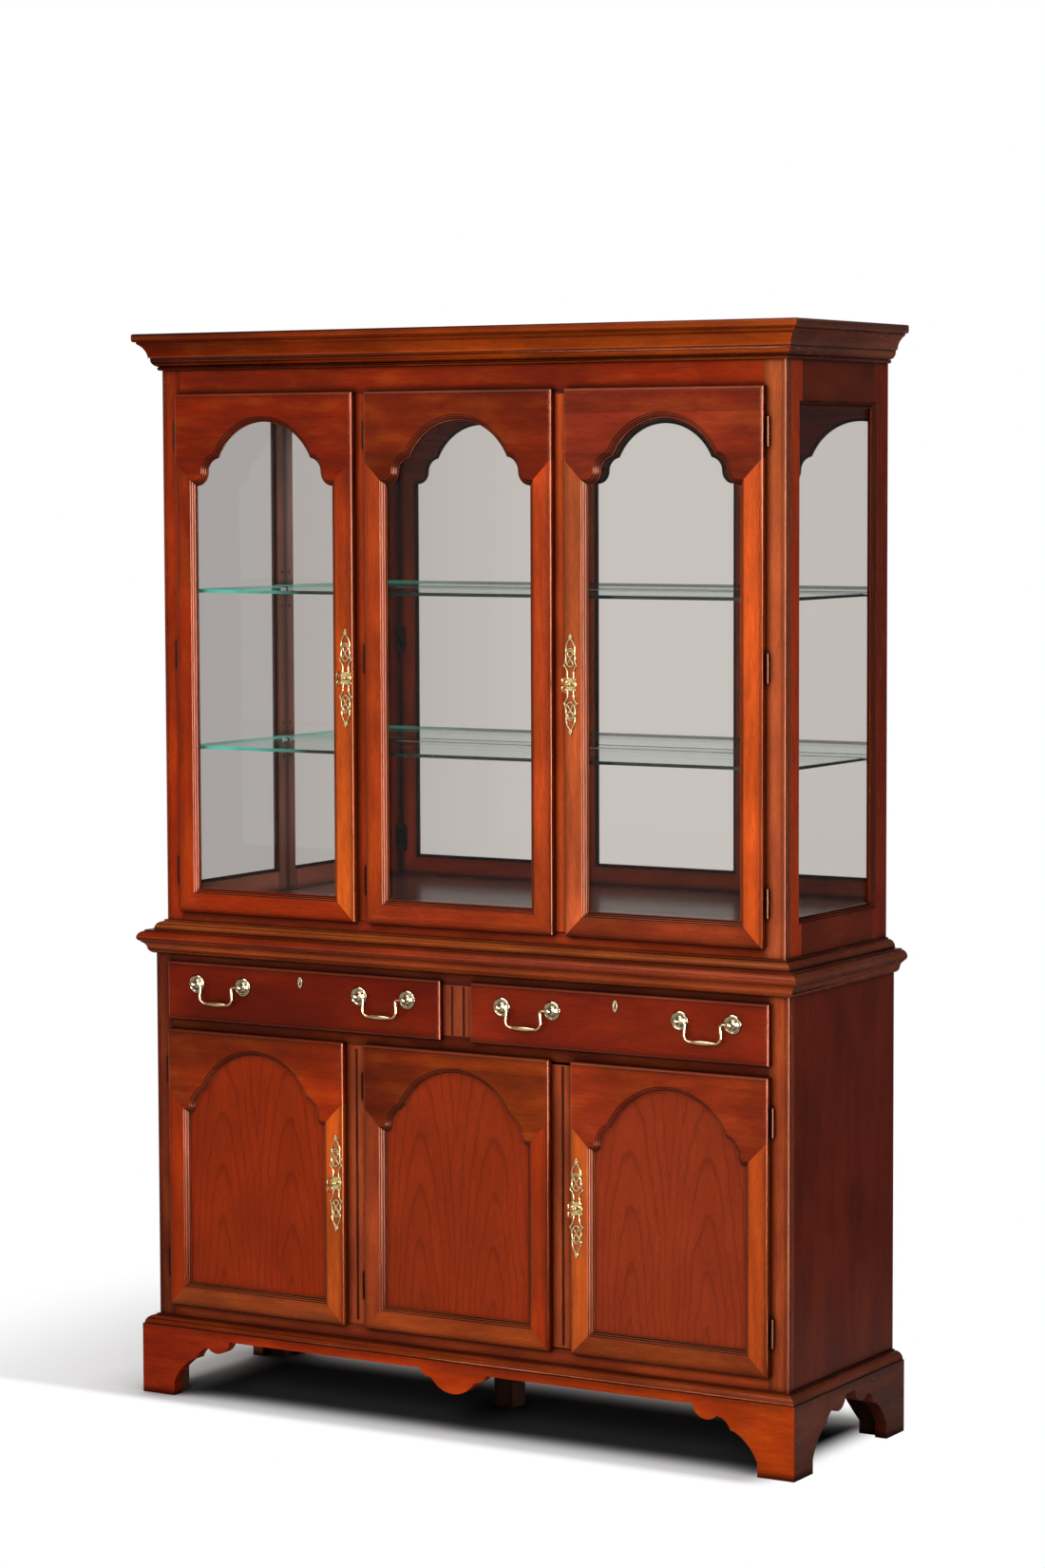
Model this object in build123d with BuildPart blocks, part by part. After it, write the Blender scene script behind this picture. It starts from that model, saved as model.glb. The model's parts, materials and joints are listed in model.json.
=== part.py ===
from build123d import *
import os
from math import sqrt

os.makedirs("parts", exist_ok=True)

# A two-piece china cabinet: a buffet on bracket feet with two drawers and three panelled doors,
# and a hutch on top with three glass doors, glass sides, a mirror back and a crown moulding.
# +X is to the right seen from the front, +Y to the back, +Z up. Sizes are in millimetres.

# ---------------------------------------------------------------- driving dimensions
base_w = 1305.0          # buffet case width
base_d = 403.0           # buffet case depth, frame face to back
hutch_inset = 15.5       # hutch side inside the buffet side
hutch_d = 388.0          # hutch case depth
frame_t = 19.0           # thickness of both face frames
side_t = 18.0            # thickness of the case sides
board_t = 18.0           # floors, roof, partition and dust panel
back_t = 6.0             # back panels
shelf_t = 16.0           # wooden shelves in the buffet

# heights, from the floor up
plinth_h = 128.0         # top of the bracket foot boards
apron_z = 112.0          # underside of the apron and of the case
base_moulding_h = 17.0
base_sill = 40.0         # plinth top to the lower edge of the panelled doors
base_door_h = 511.0
drawer_rail_gap = 19.0   # between doors and drawers
drawer_h = 105.5
drawer_head = 12.5       # drawers to the bed moulding
bed_h = 22.5             # bed moulding under the buffet top
top_t = 20.5             # buffet top
waist_h = 18.0           # moulding round the foot of the hutch
hutch_sill = 17.5        # waist moulding to the glass doors
hutch_door_h = 941.5
frieze_h = 43.5          # glass doors to the crown
crown_h = 66.0
crown_lip = 10.0         # crown top above the hutch case top

# overhangs, measured out from the case faces
plinth_over = 22.6
base_moulding_over = 20.0
bed_over = 20.0
top_over = 26.0
waist_over = 17.5
crown_over = 39.6

# doors
door_t = 15.0
base_stile_show = 33.5   # outer stiles beside the panelled doors
hutch_stile_show = 36.0  # outer stiles beside the glass doors
base_door_gap = 43.0     # between panelled doors
hutch_door_gap = 25.0    # between glass doors
door_lap = 4.0           # how far a door laps over the edge of its opening
edge_r = 5.0             # rounded door and drawer edges
edge_step = 0.8          # small step inside the rounded edge
stile_flat = 35.0        # flat face of a door stile or bottom rail
stick_w = 10.0           # moulded inner edge
glass_t = 3.0
glass_depth = 11.0       # door face to the glass
panel_t = 6.0
pane_lap = 6.0           # how far a pane or panel reaches behind the moulded edge
pane_clear = 0.3
meeting_gap = 1.5        # astragal to the edge of the right-hand door
astragal_t = 16.0
astragal_seat = 10.0     # how far the astragal reaches behind the middle door
astragal_low = 2.0       # gap under the astragal
astragal_high = 4.5      # gap above the astragal

# arched heads: opening edge to the arch, lobe radius, hook radius, arch top and foot below the door top
glass_arch = dict(shoulder=37.0, lobe_r=25.5, hook_r=24.5, top_drop=51.0, foot_drop=165.5)
panel_arch = dict(shoulder=26.0, lobe_r=33.0, hook_r=14.0, top_drop=38.0, foot_drop=154.0)

# hinges
hinge_len = 50.0
hinge_end = 76.0         # door end to the centre of the first and last hinge
knuckle_r = 3.0
knuckle_end = 11.0       # length of the two outer knuckles
knuckle_gap = 0.2
pin_r = 1.4
pin_clear = 0.05
hinge_out = 4.6          # hinge axis outside the door edge
hinge_proud = 5.0        # hinge axis in front of the frame face
leaf_t = 1.5
leaf_clear = 0.1         # between the two closed leaves
leaf_w = 18.0

# locks, escutcheons and keys
lock_inset = 14.0        # door edge to the key axis
hutch_lock_z = 435.5     # key height above the lower edge of a glass door
base_lock_z = 257.5
plate_t = 1.5
plate_h = 177.0
strand_w = 2.4           # bars of the pierced escutcheons
lock_w = 18.0
lock_h = 40.0
lock_t = 10.0
key_r = 2.0
key_bore_clear = 0.05
key_reach = 28.0         # escutcheon to the far side of the key bow
bow_h = 26.0
bow_d = 18.0
bow_t = 2.4
bow_rim = 3.2
cam_len = 22.0
cam_w = 8.0
cam_t = 2.0
cam_gap = 1.0            # behind the frame

# drawers
drawer_gap = 62.0        # between the two drawer fronts
drawer_lip_t = 12.0
drawer_lap = 8.0
drawer_body_t = 8.0      # part of the front that enters the opening
drawer_side_clear = 1.5
drawer_run_clear = 0.3
drawer_wall = 12.0
drawer_box_h = 80.0
drawer_len = 345.0       # frame face to the back of the drawer box
drawer_bottom_t = 5.0
drawer_bottom_up = 8.0
guide_h = 20.0

# swan-neck pulls
pull_boring = 101.6      # distance between the two posts
pull_offset = 176.5      # drawer centre to the centre of each pull
pull_z = 67.5            # posts above the drawer's lower edge
rosette_r = 16.0
post_out = 14.0          # drawer face to the bail axis
ball_r = 5.5
bail_r = 2.0
bail_pin_r = 1.6
bail_drop = 33.0
bail_neck = 33.5         # pull centre to each arm at the top
bail_knee = 36.5         # pull centre to each arm at the bottom
grip_r = 3.9
keyhole_w = 9.0
keyhole_h = 20.0
keyhole_up = 84.0        # keyhole plate centre above the drawer's lower edge

# flutes
flute_r = 3.0
flute_sink = 2.0
flute_pair = 12.1        # half the spacing of the two flutes between the drawers
flute_end = 10.0         # flute end to the end of the visible stile

# hutch sides, mirror and shelves
side_front_stile = 31.5
side_rear_stile = 42.0
side_low_rail = 73.0
side_top_rail = 124.0
mirror_t = 4.0
mirror_in = 20.0         # back of the case to the face of the mirror
batten_w = 40.0          # battens behind the mirror
roof_up = 4.0            # roof board above the glass door openings
shelf_heights = (297.5, 583.5)   # tops of the glass shelves above the hutch floor
glass_shelf_t = 6.0
glass_shelf_clear = 2.0
glass_shelf_front = 18.0
plate_groove_w = 4.0
plate_groove_depth = 1.5
plate_groove_back = 40.0
pin_hole_pitch = 32.0
shelf_pin_r = 2.5
shelf_pin_len = 16.0
shelf_pin_hole = 8.0
collar_r = 4.5           # collar of a shelf pin, against the side frame
collar_t = 1.5
shelf_pin_inset = 12.0   # pins in front of the mirror and behind the face frame

# feet
foot_pad = 70.0
foot_cove_z = 25.0
foot_block = 38.0
bracket_len = 195.0
rear_bracket_t = 18.0
rear_bracket_len = 112.0
leg_w = 37.0
leg_d = 43.0
leg_x = -30.0
leg_y = 200.0            # frame face to the front of the middle leg
leg_flare = 3.0
drop_half_w = 70.0       # centre drop of the front apron
drop_z = 72.5

# small work on the case corners
bead_w = 7.0
quirk = 1.0
corner_r = 3.0
catch_size = (36.0, 16.0, 11.0)

# ---------------------------------------------------------------- derived places
hutch_w = base_w - 2 * hutch_inset
base_door_w = (base_w - 2 * base_stile_show - 2 * base_door_gap) / 3
hutch_door_w = (hutch_w - 2 * hutch_stile_show - 2 * hutch_door_gap) / 3
half_base = base_w / 2
half_hutch = hutch_w / 2
front_reach = door_t + plate_t + key_reach
base_back_y = (base_d + front_reach) / 2
base_front_y = base_back_y - base_d
hutch_back_y = base_back_y
hutch_front_y = hutch_back_y - hutch_d

base_door_z = plinth_h + base_sill
drawer_z = base_door_z + base_door_h + drawer_rail_gap
bed_z = drawer_z + drawer_h + drawer_head
case_top_z = bed_z + bed_h
top_z = case_top_z + top_t
waist_z = top_z + waist_h
hutch_door_z = waist_z + hutch_sill
crown_z = hutch_door_z + hutch_door_h + frieze_h
crown_top_z = crown_z + crown_h
hutch_top_z = crown_top_z - crown_lip

base_floor_z = base_door_z + door_lap        # top of the buffet floor
hutch_floor_z = hutch_door_z + door_lap      # top of the hutch floor
base_open_top = base_door_z + base_door_h - door_lap
hutch_open_top = hutch_door_z + hutch_door_h - door_lap
drawer_open_z = drawer_z + drawer_lap
drawer_open_top = drawer_z + drawer_h - drawer_lap
roof_z = hutch_open_top + roof_up
key_axis_out = door_t + plate_t

GLASS, PANEL = "glass", "panel"


# ---------------------------------------------------------------- small helpers
def save(name, solids):
    """Write one node that holds one or more separate solids."""
    node = Compound([solid for piece in solids for solid in piece.solids()])
    node.label = name
    export_step(node, f"parts/{name}.step")
    return node


def box(x0, x1, y0, y1, z0, z1):
    """A plain board between two corners."""
    with BuildPart() as board:
        with BuildSketch(Plane.XY.offset(z0)):
            with Locations(((x0 + x1) / 2, (y0 + y1) / 2)):
                Rectangle(abs(x1 - x0), abs(y1 - y0))
        extrude(amount=z1 - z0)
    return board.part


def front_plane(x, y, z):
    """Sketch plane that faces the front: its x is +X and its y is +Z."""
    return Plane(origin=(x, y, z), x_dir=(1, 0, 0), z_dir=(0, -1, 0))


def mirrored(part):
    """The same piece on the other side of the centre line."""
    return part.mirror(Plane.YZ)


# ---------------------------------------------------------------- mouldings in three mitred runs
def moulding_run(profile, half_w, y_front, y_back, reach, side):
    """One run of a moulding round a case: side is "front", "right" or "left".

    profile draws a closed outline with x as the distance out from the case and y as height.
    """
    far = half_w + reach
    length = y_back - y_front + reach
    planes = {
        "front": (Plane(origin=(far, y_front, 0), x_dir=(0, -1, 0), z_dir=(-1, 0, 0)), 2 * far),
        "right": (Plane(origin=(half_w, y_back, 0), x_dir=(1, 0, 0), z_dir=(0, -1, 0)), length),
        "left": (Plane(origin=(-half_w, y_front - reach, 0), x_dir=(-1, 0, 0), z_dir=(0, 1, 0)), length),
    }
    plane, run_length = planes[side]
    right_mitre = Plane(origin=(half_w, y_front, 0), z_dir=(1, 1, 0))
    left_mitre = Plane(origin=(-half_w, y_front, 0), z_dir=(-1, 1, 0))
    with BuildPart() as run:
        with BuildSketch(plane):
            with BuildLine():
                profile()
            make_face()
        extrude(amount=run_length)
        if side == "front":
            split(bisect_by=right_mitre, keep=Keep.BOTTOM)
            split(bisect_by=left_mitre, keep=Keep.BOTTOM)
        elif side == "right":
            split(bisect_by=right_mitre, keep=Keep.TOP)
        else:
            split(bisect_by=left_mitre, keep=Keep.TOP)
    return run.part


def moulding(profile, half_w, y_front, y_back, reach):
    """Front, right and left runs of a moulding."""
    return [moulding_run(profile, half_w, y_front, y_back, reach, side) for side in ("front", "right", "left")]


def crown_profile():
    """Rounded fascia, quirk, large cove, fillet, ovolo and a bead at the foot."""
    top = crown_top_z
    nose = 15.0
    nose_r = 3.5
    cove_out, cove_in = 33.0, 18.0
    cove_top, cove_foot = 18.0, 43.0
    ovolo_out, ovolo_in = 15.0, 5.0
    ovolo_top, ovolo_foot = 46.0, 59.0
    bead_r = 3.0
    Line((0, top), (crown_over - nose_r, top))
    ThreePointArc((crown_over - nose_r, top), (crown_over - 1, top - 1), (crown_over, top - nose_r))
    Line((crown_over, top - nose_r), (crown_over, top - nose + nose_r))
    ThreePointArc((crown_over, top - nose + nose_r), (crown_over - 1.2, top - nose + 1.2),
                  (crown_over - nose_r - 1, top - nose))
    Polyline((crown_over - nose_r - 1, top - nose), (cove_out, top - nose), (cove_out, top - cove_top))
    ThreePointArc((cove_out, top - cove_top), (22.5, top - 28.5), (cove_in, top - cove_foot))
    Polyline((cove_in, top - cove_foot), (ovolo_out, top - cove_foot), (ovolo_out, top - ovolo_top))
    ThreePointArc((ovolo_out, top - ovolo_top), (12.0, top - 54.5), (ovolo_in, top - ovolo_foot))
    Line((ovolo_in, top - ovolo_foot), (bead_r, top - ovolo_foot))
    ThreePointArc((bead_r, top - ovolo_foot), (2 * bead_r, crown_z + bead_r + 0.5), (bead_r, crown_z))
    Polyline((bead_r, crown_z), (0, crown_z), (0, top))


def waist_profile():
    """Ovolo with a small fillet on top."""
    fillet_in = 4.0
    ovolo_h = 12.0
    Line((0, top_z), (waist_over, top_z))
    Line((waist_over, top_z), (waist_over, top_z + 3))
    ThreePointArc((waist_over, top_z + 3), (waist_over - 3.4, top_z + 10.5), (fillet_in, top_z + 3 + ovolo_h))
    Polyline((fillet_in, top_z + 3 + ovolo_h), (fillet_in, waist_z), (0, waist_z), (0, top_z))


def bed_profile():
    """Cyma: a cove under the top that turns into a small ovolo against the case."""
    mid_out = 11.5
    Line((0, bed_z), (3.0, bed_z))
    ThreePointArc((3.0, bed_z), (8.5, bed_z + 3.5), (mid_out, bed_z + 9.5))
    ThreePointArc((mid_out, bed_z + 9.5), (14.5, bed_z + 16.5), (bed_over, case_top_z - 2.0))
    Polyline((bed_over, case_top_z - 2.0), (bed_over, case_top_z), (0, case_top_z), (0, bed_z))


def nosing_profile():
    """Edge of the buffet top: a step on the upper face, then a rounded thumbnail nose."""
    step_in, step_down = 15.0, 2.2
    nose_up = 8.0
    Line((0, case_top_z), (bed_over + 1.5, case_top_z))
    ThreePointArc((bed_over + 1.5, case_top_z), (top_over - 1.0, case_top_z + 3.2), (top_over, case_top_z + nose_up))
    ThreePointArc((top_over, case_top_z + nose_up), (top_over - 3.0, top_z - step_down - 4.2),
                  (step_in, top_z - step_down))
    Polyline((step_in, top_z - step_down), (step_in, top_z), (0, top_z), (0, case_top_z))


def base_moulding_profile():
    """Ovolo from the plinth up to the case, with a fillet on top."""
    fillet_in = 4.0
    Line((0, plinth_h), (base_moulding_over, plinth_h))
    Line((base_moulding_over, plinth_h), (base_moulding_over, plinth_h + 2))
    ThreePointArc((base_moulding_over, plinth_h + 2), (base_moulding_over - 3.8, plinth_h + 10),
                  (fillet_in, plinth_h + base_moulding_h - 2.5))
    Polyline((fillet_in, plinth_h + base_moulding_h - 2.5), (fillet_in, plinth_h + base_moulding_h),
             (0, plinth_h + base_moulding_h), (0, plinth_h))


save("crown_moulding", moulding(crown_profile, half_hutch, hutch_front_y, hutch_back_y, crown_over))
save("waist_moulding", moulding(waist_profile, half_hutch, hutch_front_y, hutch_back_y, waist_over))
save("top_bed_moulding", moulding(bed_profile, half_base, base_front_y, base_back_y, bed_over))
save("base_moulding", moulding(base_moulding_profile, half_base, base_front_y, base_back_y, base_moulding_over))
save("buffet_top", moulding(nosing_profile, half_base, base_front_y, base_back_y, top_over)
     + [box(-half_base, half_base, base_front_y, base_back_y, case_top_z, top_z)])


# ---------------------------------------------------------------- bracket feet
def foot_gap(corner, s, length):
    """Open space under one half of a board; s points from the board's outer corner to its middle."""
    def at(along, z):
        return corner + s * along, z

    cusp, cusp_z = foot_pad + 43.5, 73.0
    peak, peak_z = foot_pad + 77.0, 96.5
    lobe, lobe_z = foot_pad + 101.0, 88.3
    Line(at(foot_pad, 0), at(foot_pad, foot_cove_z))
    ThreePointArc(at(foot_pad, foot_cove_z), at(foot_pad + 16.5, 51.5), at(cusp, cusp_z))
    Line(at(cusp, cusp_z), at(cusp + 8, cusp_z + 1.5))
    ThreePointArc(at(cusp + 8, cusp_z + 1.5), at(cusp + 17, 88.5), at(peak, peak_z))
    ThreePointArc(at(peak, peak_z), at(lobe, lobe_z), at(bracket_len, apron_z))
    Polyline(at(bracket_len, apron_z), at(length / 2, apron_z), at(length / 2, 0), at(foot_pad, 0))


def foot_board(length, plane, with_drop):
    """A plinth board with a bracket at each end, in a plane whose x runs along the board."""
    with BuildPart() as board:
        with BuildSketch(plane):
            Rectangle(length, plinth_h, align=(Align.CENTER, Align.MIN))
            for s in (-1, 1):
                with BuildLine():
                    foot_gap(-s * length / 2, s, length)
                make_face(mode=Mode.SUBTRACT)
            if with_drop:
                with BuildLine():
                    ThreePointArc((-40, 91), (0, drop_z), (40, 91))
                    for s in (-1, 1):
                        ThreePointArc((s * 40, 91), (s * 46, 97), (s * 54, 98.5))
                        ThreePointArc((s * 54, 98.5), (s * 62, 103), (s * drop_half_w, apron_z))
                        Line((s * drop_half_w, apron_z), (s * drop_half_w, plinth_h))
                    Line((-drop_half_w, plinth_h), (drop_half_w, plinth_h))
                make_face()
        extrude(amount=plinth_over)
    return board.part


plinth_front_len = base_w + 2 * plinth_over
plinth_side_len = base_d + plinth_over
plinth_mid_y = (base_back_y + base_front_y - plinth_over) / 2
right_mitre = Plane(origin=(half_base, base_front_y, 0), z_dir=(1, 1, 0))
left_mitre = Plane(origin=(-half_base, base_front_y, 0), z_dir=(-1, 1, 0))

front_board = foot_board(plinth_front_len, front_plane(0, base_front_y, 0), True)
side_board = foot_board(plinth_side_len, Plane(origin=(half_base, plinth_mid_y, 0), x_dir=(0, 1, 0),
                                               z_dir=(1, 0, 0)), False)
with BuildPart() as plinth_front:
    add(front_board)
    split(bisect_by=right_mitre, keep=Keep.BOTTOM)
    split(bisect_by=left_mitre, keep=Keep.BOTTOM)
with BuildPart() as plinth_right:
    add(side_board)
    split(bisect_by=right_mitre, keep=Keep.TOP)
save("plinth_boards", [plinth_front.part, plinth_right.part, mirrored(plinth_right.part)])

with BuildPart() as rear_bracket:
    with BuildSketch(front_plane(0, base_back_y, 0)):
        with BuildLine():
            Polyline((half_base, 0), (half_base - 52, 0), (half_base - 54, 10))
            ThreePointArc((half_base - 54, 10), (half_base - 70, 30), (half_base - 92, 62))
            Polyline((half_base - 92, 62), (half_base - rear_bracket_len, apron_z),
                     (half_base, apron_z), (half_base, 0))
        make_face()
    extrude(amount=rear_bracket_t)
with BuildPart() as middle_leg:
    with BuildSketch(Plane.XY):
        with Locations((leg_x, base_front_y + leg_y + leg_d / 2)):
            Rectangle(leg_w, leg_d)
    with BuildSketch(Plane.XY.offset(base_floor_z - board_t)):
        with Locations((leg_x, base_front_y + leg_y + leg_d / 2)):
            Rectangle(leg_w + 2 * leg_flare, leg_d + 2 * leg_flare)
    loft()
front_block = box(half_base - foot_block, half_base, base_front_y, base_front_y + foot_block, 0, apron_z)
rear_block = box(half_base - foot_block, half_base, base_back_y - rear_bracket_t - foot_block,
                 base_back_y - rear_bracket_t, 0, apron_z)
foot_pieces = [rear_bracket.part, front_block, rear_block]
save("foot_blocks", foot_pieces + [mirrored(piece) for piece in foot_pieces] + [middle_leg.part])

# ---------------------------------------------------------------- buffet case
inner_base = half_base - side_t
base_side = box(inner_base, half_base, base_front_y + frame_t, base_back_y, apron_z, case_top_z)
save("base_sides", [base_side, mirrored(base_side)])
base_floor = box(-inner_base, inner_base, base_front_y + frame_t, base_back_y - back_t,
                 base_floor_z - board_t, base_floor_z)
save("base_floor", [base_floor])
save("base_back_panel", [box(-inner_base, inner_base, base_back_y - back_t, base_back_y, apron_z, case_top_z)])

base_middle_x = base_door_w / 2                         # edge of the middle door
hutch_middle_x = hutch_door_w / 2
base_outer_x = base_middle_x + base_door_gap            # inner edge of the outer doors
hutch_outer_x = hutch_middle_x + hutch_door_gap
base_stile_x = base_outer_x + base_door_w - door_lap    # outer edge of the door openings
hutch_stile_x = hutch_outer_x + hutch_door_w - door_lap


def hinge_heights(z0, height, count):
    """Centres of the hinges of one door."""
    low, high = z0 + hinge_end, z0 + height - hinge_end
    return [low + (high - low) * i / (count - 1) for i in range(count)]


base_hinge_z = hinge_heights(base_door_z, base_door_h, 2)
hutch_hinge_z = hinge_heights(hutch_door_z, hutch_door_h, 3)


def hinge_seats(edge_x, toward, face_y, heights):
    """Shallow seats in a frame face for the hinge leaves; toward is the side the opening lies on."""
    seat_w = hinge_out + door_lap + leaf_t
    x_mid = edge_x + toward * (door_lap - seat_w / 2)
    with BuildPart() as seats:
        for z in heights:
            with BuildSketch(front_plane(x_mid, face_y + leaf_t, z)):
                Rectangle(seat_w, hinge_len)
            extrude(amount=leaf_t)
        for z in heights:
            with BuildSketch(front_plane(edge_x + toward * (door_lap - leaf_t / 2), face_y + frame_t, z)):
                Rectangle(leaf_t, hinge_len)
            extrude(amount=frame_t)
    return seats.part


def flute(x, face_y, z0, z1):
    """A round-bottomed flute with round ends in a face that looks to the front."""
    axis_y = face_y - flute_r + flute_sink
    with BuildPart() as groove:
        with BuildSketch(Plane(origin=(x, axis_y, z0 + flute_r), z_dir=(0, 0, 1))):
            Circle(flute_r)
        extrude(amount=z1 - z0 - 2 * flute_r)
        with Locations((x, axis_y, z0 + flute_r), (x, axis_y, z1 - flute_r)):
            Sphere(flute_r)
    return groove.part


def corner_stile(x_in, x_out, face_y, z0, z1, seats):
    """Right-hand outer stile of a face frame with a quirked bead on its corner."""
    with BuildPart() as stile:
        with BuildSketch(Plane.XY.offset(z0)):
            with Locations(((x_in + x_out) / 2, face_y + frame_t / 2)):
                Rectangle(x_out - x_in, frame_t)
            with Locations((x_out - bead_w, face_y), (x_out, face_y + bead_w)):
                Rectangle(quirk, quirk, mode=Mode.SUBTRACT)
        extrude(amount=z1 - z0)
        corner = stile.edges().filter_by(Axis.Z).group_by(Axis.Y)[0].sort_by(Axis.X)[-1]
        fillet(corner, corner_r)
        add(hinge_seats(x_in + door_lap, -1, face_y, seats), mode=Mode.SUBTRACT)
    return stile.part


def left_mullion(outer_x, middle_x, face_y, z0, z1, seats, flute_z):
    """Fixed mullion between the left and the middle door; the middle door hangs on it."""
    x0 = -(outer_x + door_lap)
    x1 = -(middle_x - door_lap)
    with BuildPart() as mullion:
        with BuildSketch(Plane.XY.offset(z0)):
            with Locations(((x0 + x1) / 2, face_y + frame_t / 2)):
                Rectangle(x1 - x0, frame_t)
        extrude(amount=z1 - z0)
        add(hinge_seats(x1 - door_lap, 1, face_y, seats), mode=Mode.SUBTRACT)
        if flute_z:
            add(flute((x0 + x1) / 2, face_y, *flute_z), mode=Mode.SUBTRACT)
    return mullion.part


base_stile = corner_stile(base_stile_x, half_base, base_front_y, apron_z, case_top_z, base_hinge_z)
frame_back_y = base_front_y + frame_t
base_flute_z = (base_door_z + flute_end, base_door_z + base_door_h - flute_end)
drawer_mid_x = drawer_gap / 2 + drawer_lap
with BuildPart() as drawer_stile:
    with BuildSketch(Plane.XY.offset(drawer_open_z)):
        with Locations((0, base_front_y + frame_t / 2)):
            Rectangle(2 * drawer_mid_x, frame_t)
    extrude(amount=drawer_open_top - drawer_open_z)
    for flute_x in (-flute_pair, flute_pair):
        add(flute(flute_x, base_front_y, drawer_open_z, drawer_open_top - 1.5), mode=Mode.SUBTRACT)


def base_rail(z0, z1):
    """A rail of the buffet face frame, between the outer stiles."""
    return box(-base_stile_x, base_stile_x, base_front_y, frame_back_y, z0, z1)


save("base_face_frame", [
    base_stile, mirrored(base_stile),
    base_rail(apron_z, base_floor_z),
    base_rail(base_open_top, drawer_open_z),
    base_rail(drawer_open_top, case_top_z),
    drawer_stile.part,
    left_mullion(base_outer_x, base_middle_x, base_front_y, base_floor_z, base_open_top, base_hinge_z, base_flute_z),
])

# partition behind the mullion, dust panel under the drawers, divider and guides beside them
dust_z = drawer_open_z - board_t
partition_x = -(base_outer_x + base_middle_x) / 2
inner_back_y = base_back_y - back_t
partition = box(partition_x - board_t / 2, partition_x + board_t / 2, frame_back_y, inner_back_y,
                base_floor_z, dust_z)
dust_panel = box(-inner_base, inner_base, frame_back_y, inner_back_y, dust_z, drawer_open_z)
drawer_outer_x = base_stile_x - drawer_side_clear
guide_in_x = drawer_outer_x + drawer_side_clear
divider_x = drawer_mid_x
divider = box(-divider_x, divider_x, frame_back_y, inner_back_y, drawer_open_z, drawer_open_z + guide_h)
side_guide = box(guide_in_x, inner_base, frame_back_y, inner_back_y, drawer_open_z, drawer_open_z + guide_h)
kicker = box(-board_t, board_t, frame_back_y, inner_back_y, case_top_z - guide_h, case_top_z)
save("base_partitions", [partition, dust_panel, divider, side_guide, mirrored(side_guide), kicker])

shelf_z = (base_floor_z + dust_z) / 2
shelf_front_y = frame_back_y + 60
shelf_side = 1.0
save("base_shelves", [
    box(-inner_base + shelf_side, partition_x - board_t / 2 - shelf_side, shelf_front_y, inner_back_y - 2,
        shelf_z - shelf_t, shelf_z),
    box(partition_x + board_t / 2 + shelf_side, inner_base - shelf_side, shelf_front_y, inner_back_y - 2,
        shelf_z - shelf_t, shelf_z),
])
cleat = 15.0
cleat_spans = [(-inner_base, -inner_base + cleat),
               (partition_x - board_t / 2 - cleat, partition_x - board_t / 2),
               (partition_x + board_t / 2, partition_x + board_t / 2 + cleat),
               (inner_base - cleat, inner_base)]
save("shelf_cleats", [box(x0, x1, shelf_front_y, inner_back_y - 2, shelf_z - shelf_t - cleat, shelf_z - shelf_t)
                      for x0, x1 in cleat_spans])

# ---------------------------------------------------------------- hutch case
hutch_stile = corner_stile(hutch_stile_x, half_hutch, hutch_front_y, top_z, hutch_top_z, hutch_hinge_z)
hutch_frame_back = hutch_front_y + frame_t


def hutch_rail(z0, z1):
    """A rail of the hutch face frame, between the outer stiles."""
    return box(-hutch_stile_x, hutch_stile_x, hutch_front_y, hutch_frame_back, z0, z1)


save("hutch_face_frame", [
    hutch_stile, mirrored(hutch_stile),
    hutch_rail(top_z, hutch_floor_z),
    hutch_rail(hutch_open_top, hutch_top_z),
    left_mullion(hutch_outer_x, hutch_middle_x, hutch_front_y, hutch_floor_z, hutch_open_top, hutch_hinge_z, None),
])

inner_hutch = half_hutch - side_t
hutch_inner_back = hutch_back_y - back_t
save("hutch_floor", [box(-inner_hutch, inner_hutch, hutch_frame_back, hutch_inner_back,
                         hutch_floor_z - board_t, hutch_floor_z)])
save("hutch_roof", [box(-inner_hutch, inner_hutch, hutch_frame_back, hutch_inner_back,
                        roof_z, roof_z + board_t)])
save("hutch_back_panel", [box(-inner_hutch, inner_hutch, hutch_inner_back, hutch_back_y, top_z, hutch_top_z)])

# Moulded inner edge: (distance out from the opening, depth below the face), from face to pane.
stick_steps = [(stick_w, 0.0), (8.8, 1.8), (7.2, 2.1), (5.4, 4.9), (4.0, 5.2), (2.6, 7.4), (0.0, 8.0)]


def moulded_opening(outline, plane_at, depth):
    """Cutter for an opening with a stepped edge: outline(grow) draws it, plane_at(depth) places it."""
    with BuildPart() as cutter:
        for (grow0, deep0), (grow1, deep1) in zip(stick_steps, stick_steps[1:]):
            with BuildSketch(plane_at(deep0)):
                outline(grow0)
            with BuildSketch(plane_at(deep1)):
                outline(grow1)
            loft(ruled=True)
        with BuildSketch(plane_at(depth)):
            outline(0.0)
        extrude(amount=depth - stick_steps[-1][1])
    return cutter.part


side_y0 = hutch_frame_back
side_mid_y = (side_y0 + side_front_stile + hutch_back_y - side_rear_stile) / 2
side_open_w = hutch_back_y - side_rear_stile - side_y0 - side_front_stile - 2 * stick_w
side_open_z0 = top_z + side_low_rail + stick_w
side_open_h = hutch_top_z - side_top_rail - stick_w - side_open_z0


def side_plane(depth):
    """Plane on the right-hand side of the hutch, at a depth below its outer face."""
    return Plane(origin=(half_hutch - depth, side_mid_y, side_open_z0 + side_open_h / 2),
                 x_dir=(0, 1, 0), z_dir=(1, 0, 0))


def side_outline(grow):
    """The glass opening of a hutch side."""
    Rectangle(side_open_w + 2 * grow, side_open_h + 2 * grow)


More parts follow.
